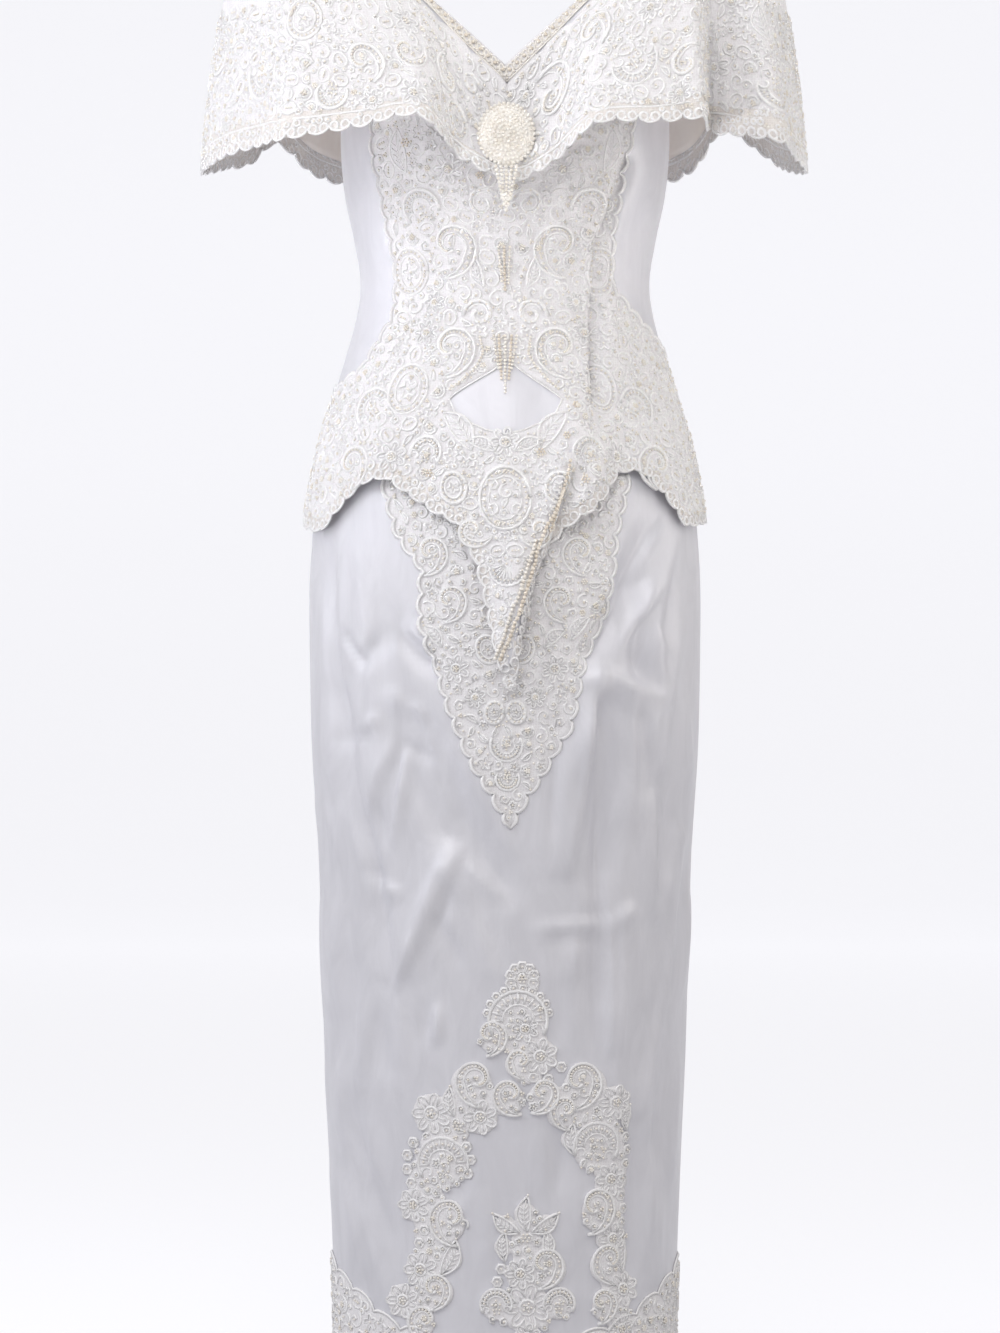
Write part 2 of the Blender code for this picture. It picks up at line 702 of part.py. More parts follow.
def grid_slab(first, last, top, bottom, cutters):
    """Return a slab one unit thick over a block of grid cells, each cut along its diagonal."""
    work = bmesh.new()
    across = last - first
    down = bottom - top
    bmesh.ops.create_grid(work, x_segments=across, y_segments=down, size=0.5)
    for spot in work.verts:
        spot.co.x = round(first + (spot.co.x + 0.5) * across)
        spot.co.y = round(top + (spot.co.y + 0.5) * down)
        spot.co.z = -0.5
    bmesh.ops.triangulate(work, faces=work.faces[:], quad_method="FIXED")
    raised = bmesh.ops.extrude_face_region(work, geom=work.faces[:], use_keep_orig=True)
    for item in raised["geom"]:
        if isinstance(item, bmesh.types.BMVert):
            item.co.z = 0.5
    face_out(work)
    mesh = bpy.data.meshes.new("slab")
    work.to_mesh(mesh)
    work.free()
    return link_object("slab", mesh, cutters)


def sewn_piece(name, form, loops, low, high, seams=None):
    """Cut a piece from the form's grid and wrap it onto the form as a closed wall.

    low and high are the heights of its inner and outer faces over the form.  seams gives the turns
    of the two seams that bound it.
    """
    columns = []
    rows = []
    for u, v in loops[0]:
        i, j = form.cell(u, v)
        columns.append(i)
        rows.append(j)
    first = max(math.floor(min(columns)), 0)
    last = min(math.ceil(max(columns)), len(form.turns) - 1)
    if seams:
        first = max(first, form.turns.index(seams[0]))
        last = min(last, form.turns.index(seams[1]))
    top = max(math.floor(min(rows)), 0)
    bottom = min(math.ceil(max(rows)), len(form.levels) - 1)
    slab = grid_slab(first, last, top, bottom, CUTTERS)
    cutter = pattern_cutter(form, loops, CUTTERS)
    cut = slab.modifiers.new("outline", "BOOLEAN")
    cut.operation = "INTERSECT"
    cut.solver = "EXACT"
    cut.object = cutter
    bpy.context.view_layer.update()
    evaluated = slab.evaluated_get(bpy.context.evaluated_depsgraph_get())
    mesh = bpy.data.meshes.new_from_object(evaluated)
    bpy.data.objects.remove(slab)
    bpy.data.objects.remove(cutter)
    work = bmesh.new()
    work.from_mesh(mesh)
    bmesh.ops.remove_doubles(work, verts=work.verts, dist=0.00001)
    for spot in work.verts:
        i, j = spot.co.x, spot.co.y
        if seams:
            i = min(max(i, form.turns.index(seams[0]) + SEAM), form.turns.index(seams[1]) - SEAM)
        spot.co = form.wrap(i, j, high if spot.co.z > 0 else low)
    face_out(work)
    work.to_mesh(mesh)
    work.free()
    mesh.name = name
    mesh.shade_smooth()
    mesh.set_sharp_from_angle(angle=math.radians(40))
    return link_object(name, mesh, DRESS)


def between(top, bottom, turns):
    """Return the outline between two edges, each a function of the turn."""
    return [(turn, top(turn)) for turn in turns] + [(turn, bottom(turn)) for turn in reversed(turns)]


def turns_between(form, start, end):
    """Return the form's columns from start to end, with a margin past each end."""
    inner = [turn for turn in form.turns if start <= turn <= end]
    return [start - SEAM_EXCESS] + inner + [end + SEAM_EXCESS]


def bodice_top(turn):
    """Return the top edge of the bodice: the neckline, dipping under the arms."""
    side = abs(turn)
    if side < FRONT_TOP_TURN:
        return neck_z(turn) - TOP_TUCK
    if side > BACK_TOP_TURN:
        return neck_z(turn) - TOP_TUCK
    start = FRONT_TOP_TURN if side < ARMPIT_TURN else BACK_TOP_TURN
    high = neck_z(start) - TOP_TUCK
    f = (side - start) / (ARMPIT_TURN - start)
    return high + (ARMPIT_Z - high) * math.sin(f * math.pi / 2) ** 0.8


def basque_hem(turn):
    """Return the height of the basque's lace hem at a turn."""
    return straight(turn, column(BASQUE_HEM, "turn"), column(BASQUE_HEM, "z"))


def basque_satin(turn):
    """Return the height of the basque's satin edge, just inside the lace's hem."""
    return basque_hem(turn) + BASQUE_LIFT


def hem_lace_top(turn):
    """Return the height of the hem lace's upper edge at a turn."""
    return straight(turn, column(HEM_LACE_TOP, "turn"), column(HEM_LACE_TOP, "z"))


def collar_lace_top(turn):
    """Return the reach of the collar lace's upper edge at a turn."""
    return straight(abs(turn), column(COLLAR_LACE_TOP, "turn"), column(COLLAR_LACE_TOP, "reach"))


def edging_reach(turn):
    """Return the reach at which the neckline's edging ends."""
    return EDGING_WIDTH * COLLAR.per_metre(turn, 0.03)[1]


def finish(item, material):
    """Give a piece its own copy of a material."""
    own = material.copy()
    own.name = item.name + "_cloth"
    item.data.materials.clear()
    item.data.materials.append(own)


def build_bodice(satin):
    """Build the seven satin panels of the bodice and the closing strip."""
    panels = [
        ("bodice_front", -30, 30),
        ("bodice_side_front_left", 30, 90),
        ("bodice_side_front_right", -90, -30),
        ("bodice_side_back_left", 90, 144),
        ("bodice_side_back_right", -144, -90),
        ("bodice_back_left", 144, 180),
        ("bodice_back_right", -180, -144),
    ]
    for name, start, end in panels:
        turns = turns_between(BODICE, start, end)
        if name == "bodice_front":
            turns += [row.turn for row in BASQUE_HEM if start < row.turn < end]
        outline = between(bodice_top, basque_satin, sorted(set(turns)))
        finish(sewn_piece(name, BODICE, [outline], -WALL, 0.0, seams=(start, end)), satin)


def build_placket(satin):
    """Build the lapped strip over the closing at the centre back."""
    turns = [180 + BACK_STEP * k for k in range(-2, 3)]
    form = Form(bodice_point, turns, BODICE_LEVELS)
    outline = [
        (180 - PLACKET_HALF_TURN, PLACKET_TOP_Z),
        (180 + PLACKET_HALF_TURN, PLACKET_TOP_Z),
        (180 + PLACKET_HALF_TURN, PLACKET_BOTTOM_Z),
        (180 - PLACKET_HALF_TURN, PLACKET_BOTTOM_Z),
    ]
    finish(sewn_piece("back_placket", form, [outline], GAP, GAP + WALL), satin)


def build_skirt(satin):
    """Build the satin skirt: one front and two backs."""
    for name, start, end in (
        ("skirt_front", -90, 90),
        ("skirt_back_left", 90, 180),
        ("skirt_back_right", -180, -90),
    ):
        outline = [
            (start - SEAM_EXCESS, SKIRT_LEVELS[0] + 0.02),
            (end + SEAM_EXCESS, SKIRT_LEVELS[0] + 0.02),
            (end + SEAM_EXCESS, HEM_Z - 0.02),
            (start - SEAM_EXCESS, HEM_Z - 0.02),
        ]
        finish(sewn_piece(name, SKIRT, [outline], -WALL, 0.0, seams=(start, end)), satin)


def build_collar(satin):
    """Build the satin cape collar in two halves."""
    for name, start, end in (("collar_left", 0, 180), ("collar_right", -180, 0)):
        outline = [
            (start - SEAM_EXCESS, -0.05),
            (end + SEAM_EXCESS, -0.05),
            (end + SEAM_EXCESS, COLLAR_SATIN_REACH),
            (start - SEAM_EXCESS, COLLAR_SATIN_REACH),
        ]
        finish(sewn_piece(name, COLLAR, [outline], -WALL, 0.0, seams=(start, end)), satin)


def build_collar_lace(lace, edging):
    """Build the collar's scalloped lace and the beaded neckline edging."""
    for side, start, end in (("left", 0, 180), ("right", -180, 0)):
        turns = turns_between(COLLAR, start, end)
        hem = [(turn, 1.0) for turn in (start, (start + end) / 2, end)]
        edge = scalloped(COLLAR, dense(hem, 12), SCALLOP_PITCH, SCALLOP_DEPTH)
        top = [(turn, collar_lace_top(turn)) for turn in reversed(turns)]
        outline = [(start - SEAM_EXCESS, 1.0)] + edge + [(end + SEAM_EXCESS, 1.0)] + top
        name = "collar_lace_" + side
        finish(sewn_piece(name, COLLAR, [outline], GAP, GAP + LACE, seams=(start, end)), lace)
        strip = between(lambda turn: -0.05, edging_reach, turns)
        name = "neckline_edging_" + side
        finish(sewn_piece(name, COLLAR, [strip], GAP, GAP + EDGING, seams=(start, end)), edging)


def build_bodice_lace(lace):
    """Build the lace over the bodice front and hips, with its window, and the two backs."""
    neck = [(turn, neck_z(turn) - LACE_TUCK) for turn in range(-42, 43, 6)]
    hem_turns = [90] + [row.turn for row in reversed(BASQUE_HEM) if abs(row.turn) < 90] + [-90]
    path = [(turn, basque_hem(turn)) for turn in hem_turns]
    hem = scalloped(BODICE, path, SCALLOP_PITCH, BASQUE_DEPTH)
    left = [(row.turn, row.z) for row in LACE_EDGE_LEFT]
    right = [(row.turn, row.z) for row in LACE_EDGE_RIGHT]
    outline = neck + left + [(94, basque_hem(90))] + hem + [(-94, basque_hem(-90))] + right[::-1]
    half_turn = front_turn(BODICE_SECTIONS, WINDOW_HALF_WIDTH, WINDOW_Z)
    window = [
        (0, WINDOW_Z + WINDOW_HALF_HEIGHT),
        (half_turn, WINDOW_Z),
        (0, WINDOW_Z - WINDOW_HALF_HEIGHT),
        (-half_turn, WINDOW_Z),
    ]
    piece = sewn_piece("bodice_lace_front", BODICE, [outline, window], GAP, GAP + LACE, seams=(-90, 90))
    finish(piece, lace)
    for name, start, end in (("peplum_lace_back_left", 90, 180), ("peplum_lace_back_right", -180, -90)):
        turns = turns_between(BODICE, start, end)
        path = [(turn, basque_hem(turn)) for turn in reversed(turns[1:-1])]
        edge = scalloped(BODICE, path, SCALLOP_PITCH, BASQUE_DEPTH)
        hem = [(end + SEAM_EXCESS, basque_hem(end))] + edge + [(start - SEAM_EXCESS, basque_hem(start))]
        top = [(turn, peplum_top(turn)) for turn in turns]
        finish(sewn_piece(name, BODICE, [top + hem], GAP, GAP + LACE, seams=(start, end)), lace)


def peplum_top(turn):
    """Return the upper edge of the lace over the hips at the back."""
    side = LACE_EDGE_LEFT[-1].z if turn > 0 else LACE_EDGE_RIGHT[-1].z
    f = min((abs(turn) - 90) / 40, 1.0)
    return side + (LACE_EDGE_BACK_Z - side) * f


def build_skirt_lace(lace):
    """Build the lace on the skirt: the point, the arch with its spray, and the hem border."""
    right = scalloped(SKIRT, on_skirt(SKIRT_POINT_RIGHT[::-1]), SMALL_PITCH, SMALL_DEPTH)
    left = scalloped(SKIRT, on_skirt(SKIRT_POINT_LEFT[::-1]), SMALL_PITCH, SMALL_DEPTH)
    outline = left[:-1] + right[:-1]
    finish(sewn_piece("skirt_lace_point", SKIRT, [outline], GAP, GAP + LACE), lace)
    for name, spine in (
        ("hem_lace_finial", FINIAL),
        ("hem_lace_arm_left", ARM_LEFT),
        ("hem_lace_arm_right", ARM_RIGHT),
        ("hem_lace_spray", SPRAY),
    ):
        finish(sewn_piece(name, SKIRT, [band(SKIRT, spine)], GAP, GAP + LACE), lace)
    for name, start, end in (
        ("hem_lace_border_front", -90, 90),
        ("hem_lace_border_back_left", 90, 180),
        ("hem_lace_border_back_right", -180, -90),
    ):
        turns = turns_between(SKIRT, start, end)
        path = [(turn, hem_lace_top(turn)) for turn in turns[1:-1]]
        edge = scalloped(SKIRT, path, SCALLOP_PITCH * 1.6, SCALLOP_DEPTH)
        outline = [(start - SEAM_EXCESS, hem_lace_top(start))] + edge
        outline += [(end + SEAM_EXCESS, hem_lace_top(end))]
        outline += [(end + SEAM_EXCESS, LACE_HEM_Z), (start - SEAM_EXCESS, LACE_HEM_Z)]
        finish(sewn_piece(name, SKIRT, [outline], GAP, GAP + LACE, seams=(start, end)), lace)


def build_medallion(beads):
    """Build the ribbed oval at the middle of the collar, flat behind and seated on its lace."""
    middle = collar_point(0, reach_at(MEDALLION_Z))
    middle.x = MEDALLION_X
    face = outward(collar_point, 0, reach_at(MEDALLION_Z))
    across = Vector((1, 0, 0))
    face = (face - across * face.x).normalized()
    up = face.cross(across)
    stand = 0.0
    front_column = COLLAR.turns.index(0)
    for step_u in range(-16, 17):
        for step_v in range(8 * len(COLLAR.levels) - 8):
            spot = COLLAR.wrap(front_column + step_u / 8, step_v / 8, GAP + LACE) - middle
            if math.hypot(spot.x / MEDALLION_HALF_WIDTH, spot.dot(up) / MEDALLION_HALF_HEIGHT) < 1:
                stand = max(stand, spot.dot(face))
    base = middle + face * (stand + GAP)
    work = bmesh.new()
    sides = MEDALLION_RIBS * 2
    rings = []
    for rib in [Rib(1.0, 0.0)] + MEDALLION_PROFILE:
        made = bmesh.ops.create_circle(work, cap_ends=False, radius=rib.radius, segments=sides)
        crest = rib.height
        for k, spot in enumerate(made["verts"]):
            groove = 0.0010 if k % 2 and rib.height > 0.002 else 0.0
            flat = spot.co.copy()
            spot.co = base + across * flat.x * MEDALLION_HALF_WIDTH + up * flat.y * MEDALLION_HALF_HEIGHT
            spot.co += face * (crest - groove)
        rings.append(made["verts"])
    for lower, upper in zip(rings, rings[1:]):
        edges = [edge for edge in work.edges if set(edge.verts) <= set(lower)]
        edges += [edge for edge in work.edges if set(edge.verts) <= set(upper)]
        bmesh.ops.bridge_loops(work, edges=edges)
    bmesh.ops.holes_fill(work, edges=work.edges, sides=0)
    face_out(work)
    mesh = bpy.data.meshes.new("medallion")
    work.to_mesh(mesh)
    work.free()
    mesh.shade_smooth()
    mesh.set_sharp_from_angle(angle=math.radians(30))
    finish(link_object("medallion", mesh, DRESS), beads)
    return base + face * 0.004 - up * (MEDALLION_HALF_HEIGHT + GAP)


def reach_at(z):
    """Return the reach at which the collar's centre front comes to a height."""
    low, high = 0.0, 1.0
    for _ in range(30):
        half = (low + high) / 2
        if collar_point(0, half).z > z:
            low = half
        else:
            high = half
    return (low + high) / 2


def build_tassel(name, top, beads):
    """Build a tassel: a short bar and bead strands fused to it, drawn together at their ends."""
    work = bmesh.new()
    bmesh.ops.create_cube(work, size=1.0)
    bmesh.ops.scale(work, vec=TASSEL_BAR, verts=work.verts)
    bmesh.ops.translate(work, vec=top - Vector((0, 0, TASSEL_BAR.z / 2)), verts=work.verts)
    mesh = bpy.data.meshes.new(name)
    work.to_mesh(mesh)
    work.free()
    item = link_object(name, mesh, DRESS)
    for k in range(TASSEL_STRANDS):
        side = k / (TASSEL_STRANDS - 1) - 0.5
        reach = TASSEL_LENGTH * (1.0 - 0.5 * abs(side))
        lean = Matrix.Rotation(TASSEL_WIDTH * TASSEL_GATHER / TASSEL_LENGTH * side, 4, "Y")
        root = Matrix.Translation(top + Vector((side * TASSEL_WIDTH, 0, -TASSEL_BAR.z / 2)))
        strand = bmesh.new()
        bmesh.ops.create_cone(
            strand,
            cap_ends=True,
            segments=4,
            radius1=TASSEL_STRAND_RADIUS,
            radius2=TASSEL_STRAND_RADIUS * 0.8,
            depth=reach,
            matrix=root @ lean @ Matrix.Translation((0, 0, -reach / 2)),
        )
        shape = bpy.data.meshes.new("strand")
        strand.to_mesh(shape)
        strand.free()
        tool = link_object("strand", shape, CUTTERS)
        join = item.modifiers.new("join", "BOOLEAN")
        join.operation = "UNION"
        join.solver = "EXACT"
        join.object = tool
        bpy.context.view_layer.update()
        evaluated = item.evaluated_get(bpy.context.evaluated_depsgraph_get())
        joined = bpy.data.meshes.new_from_object(evaluated)
        item.modifiers.clear()
        item.data = joined
        bpy.data.objects.remove(tool)
    finish(item, beads)


for old in list(bpy.data.objects):
    bpy.data.objects.remove(old)

DRESS = new_collection("wedding_dress")
CUTTERS = new_collection("cutters")
BODICE = Form(bodice_point, BODY_TURNS, BODICE_LEVELS)
SKIRT = Form(skirt_point, BODY_TURNS, SKIRT_LEVELS)
COLLAR = Form(collar_point, COLLAR_TURNS, COLLAR_LEVELS)

SATIN = new_material("satin", (0.86, 0.86, 0.90), 0.35, 0.3)
LACE_CLOTH = new_material("lace", (0.82, 0.80, 0.79), 0.8)
BEADS = new_material("beads", (0.78, 0.72, 0.62), 0.4)

build_skirt(SATIN)
build_bodice(SATIN)
build_placket(SATIN)
build_collar(SATIN)
build_collar_lace(LACE_CLOTH, BEADS)
build_bodice_lace(LACE_CLOTH)
build_skirt_lace(LACE_CLOTH)
MEDALLION_FOOT = build_medallion(BEADS)
build_tassel("medallion_tassel", MEDALLION_FOOT, BEADS)
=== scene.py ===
"""The finish of a white satin wedding dress with a cape collar, a pointed basque and corded lace.

Each sheet of cloth is a fine grid laid on the surface that its CAD solid was made from: a turn in
degrees from centre front and a level, which is a height on the body and a part of the way from neck
to hem on the collar.  Lace is a net sheet with cords and beads laid on it in the same way.

Metres, +Z up, the front faces -Y.  Left and right are the wearer's, so left is +X.
"""

import logging
import math
from dataclasses import dataclass
from enum import Enum
from typing import Callable, ClassVar, NamedTuple, Sequence

import bmesh
import bpy
import numpy as np
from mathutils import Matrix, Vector
from mathutils.kdtree import KDTree


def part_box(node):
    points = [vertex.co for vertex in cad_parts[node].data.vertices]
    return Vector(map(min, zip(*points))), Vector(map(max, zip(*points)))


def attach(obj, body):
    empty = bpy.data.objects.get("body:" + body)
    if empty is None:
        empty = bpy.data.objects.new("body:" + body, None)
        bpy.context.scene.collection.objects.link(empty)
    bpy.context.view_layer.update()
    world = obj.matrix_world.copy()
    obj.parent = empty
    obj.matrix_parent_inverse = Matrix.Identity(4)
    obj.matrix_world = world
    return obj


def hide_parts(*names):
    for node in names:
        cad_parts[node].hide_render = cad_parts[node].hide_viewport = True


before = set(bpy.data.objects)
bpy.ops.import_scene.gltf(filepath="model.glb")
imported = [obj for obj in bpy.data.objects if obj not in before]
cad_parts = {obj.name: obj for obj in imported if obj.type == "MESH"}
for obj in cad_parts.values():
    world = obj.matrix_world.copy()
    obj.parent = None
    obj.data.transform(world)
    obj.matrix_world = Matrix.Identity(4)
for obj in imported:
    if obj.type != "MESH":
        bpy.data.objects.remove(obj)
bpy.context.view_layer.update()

LOG = logging.getLogger("wedding_dress")
BODY = "root"

Array = np.ndarray
Edge = Callable[[Array], Array]
Field = Callable[[Array, Array], Array]
Path = Sequence[tuple[float, float]]
Strokes = list[tuple[Array, float]]
Drawing = tuple[Strokes, Array]
Item = bpy.types.Object
Mesh = bpy.types.Mesh
Material = bpy.types.Material
Tree = bpy.types.NodeTree
Socket = bpy.types.NodeSocket

# Layers of cloth, out from the satin's outer face
SATIN_THICKNESS = 0.0011
NET_BASE = 0.0004
NET_THICKNESS = 0.0005
NET_TOP = NET_BASE + NET_THICKNESS
NET_MIDDLE = NET_BASE + NET_THICKNESS / 2

# Cords by the thickness of their thread
HEAVY = 0.00185
MEDIUM = 0.00122
FINE = 0.00085

HEM_Z = -1.400
LACE_HEM_Z = -1.396
WAIST_Z = -0.405


class Side(Enum):
    """The half of the dress that a crease lies on."""

    FRONT = "front"
    BACK = "back"


class Stitch(Enum):
    """The kinds of needlework motif."""

    SCROLL = "scroll"
    SHELL = "shell"
    ROSETTE = "rosette"
    LEAF = "leaf"
    OVAL = "oval"
    FAN = "fan"
    CURL = "curl"
    RING = "ring"
    KNOT = "knot"


class Crease(NamedTuple):
    """A soft ridge (or trough, with a negative rise) from its upper to its lower end."""

    side: Side
    x_top: float
    z_top: float
    x_bottom: float
    z_bottom: float
    width: float
    rise: float
    bow: float = 0.0
    lean: float = 1.0
    taper: float = 0.6


class Motif(NamedTuple):
    """One motif: kind, place (turn and level), radius, rotation in degrees, and whether mirrored."""

    kind: Stitch
    turn: float
    level: float
    size: float
    angle: float = 0.0
    mirrored: bool = False


SCROLL, SHELL, ROSETTE, LEAF, OVAL, FAN, CURL, RING, KNOT = Stitch

# Level rounds of the body: height, half width, depth to the front and to the back
BODICE_SECTIONS = [
    (0, .186, .06, .07), (-.05, .172, .085, .086), (-.1, .16, .1, .094), (-.14, .153, .11, .096),
    (-.19, .148, .116, .094), (-.24, .1476, .11, .09), (-.279, .1436, .102, .086),
    (-.315, .136, .095, .083), (-.355, .13, .092, .082), (-.387, .134, .094, .087), (-.423, .144, .1, .097),
    (-.459, .155, .108, .109), (-.495, .166, .116, .118), (-.531, .174, .122, .125),
    (-.567, .18, .127, .131), (-.62, .183, .132, .134), (-.74, .183, .135, .134),
]
SKIRT_SECTIONS = [
    (-.405, .1365, .095, .09), (-.45, .147, .096, .099), (-.5, .161, .106, .111), (-.549, .17, .114, .119),
    (-.6, .1746, .118, .124), (-.639, .176, .12, .124), (-.7, .1755, .12, .122), (-.774, .1737, .118, .118),
    (-.864, .168, .1155, .1135), (-.954, .165, .114, .11), (-1.044, .1625, .1125, .107),
    (-1.134, .1585, .111, .105), (-1.224, .155, .11, .104), (-1.296, .153, .11, .104),
    (-1.4, .15, .111, .105),
]

# Creases, large ones first.  In millimetres: upper end and lower end (x, z).  In tenths of one: width,
# rise (a trough's is below nought) and bow.  Then lean and taper.
BODICE_CREASES = {
    Side.FRONT: [
        (112, -235, 94, -325, 110, -40), (74, -365, 83, -480, 100, -50), (56, -470, 74, -575, 160, 90),
        (100, -480, 118, -575, 120, -40), (-104, -470, -118, -575, 140, 50),
        (-66, -490, -74, -560, 120, -40), (4, -560, 12, -720, 120, 60), (30, -560, 22, -640, 100, -40),
        (-136, -215, -112, -262, 60, 22, 30, 1.6, 1), (-132, -245, -106, -300, 70, -24, 40, 1.4, 1),
        (-128, -300, -104, -322, 60, 20, 20, 1.5, 1), (-122, -332, -98, -350, 50, -18, 20, 1.5, 1),
        (134, -222, 118, -290, 70, 22, -30, 1.5, 1), (128, -300, 106, -335, 60, -20, -20, 1.4, 1),
        (112, -410, 134, -432, 60, 18, 20, 1.4, 1), (111, -248, 80, -330, 50, -62, 0, .8, .4),
        (78, -325, 78, -490, 50, -62, 0, .8, .5), (72, -300, 70, -480, 40, 34, 20, 1.6, .6),
        (121, -250, 86, -350, 80, 36, 0, 1, 1), (87, -350, 92, -470, 80, 36, 0, 1, 1),
        (52, -520, 1, -700, 50, 80, 0, 3.5, .3), (64, -515, 14, -680, 75, -75, 0, 1, .3),
        (88, -505, 60, -560, 100, 45, 0, 1.6, .6),
    ],
    Side.BACK: [
        (-70, -450, -82, -560, 160, 70), (62, -460, 78, -560, 150, 60), (112, -470, 128, -560, 130, -40),
        (-24, -470, -28, -560, 130, -40), (-110, -240, -80, -300, 90, -24, 40, 1.3, 1),
        (104, -250, 70, -310, 90, -24, -40, 1.3, 1), (-96, -330, -40, -352, 70, 22, 30, 1.3, 1),
        (94, -336, 46, -362, 70, 20, -30, 1.3, 1),
    ],
}
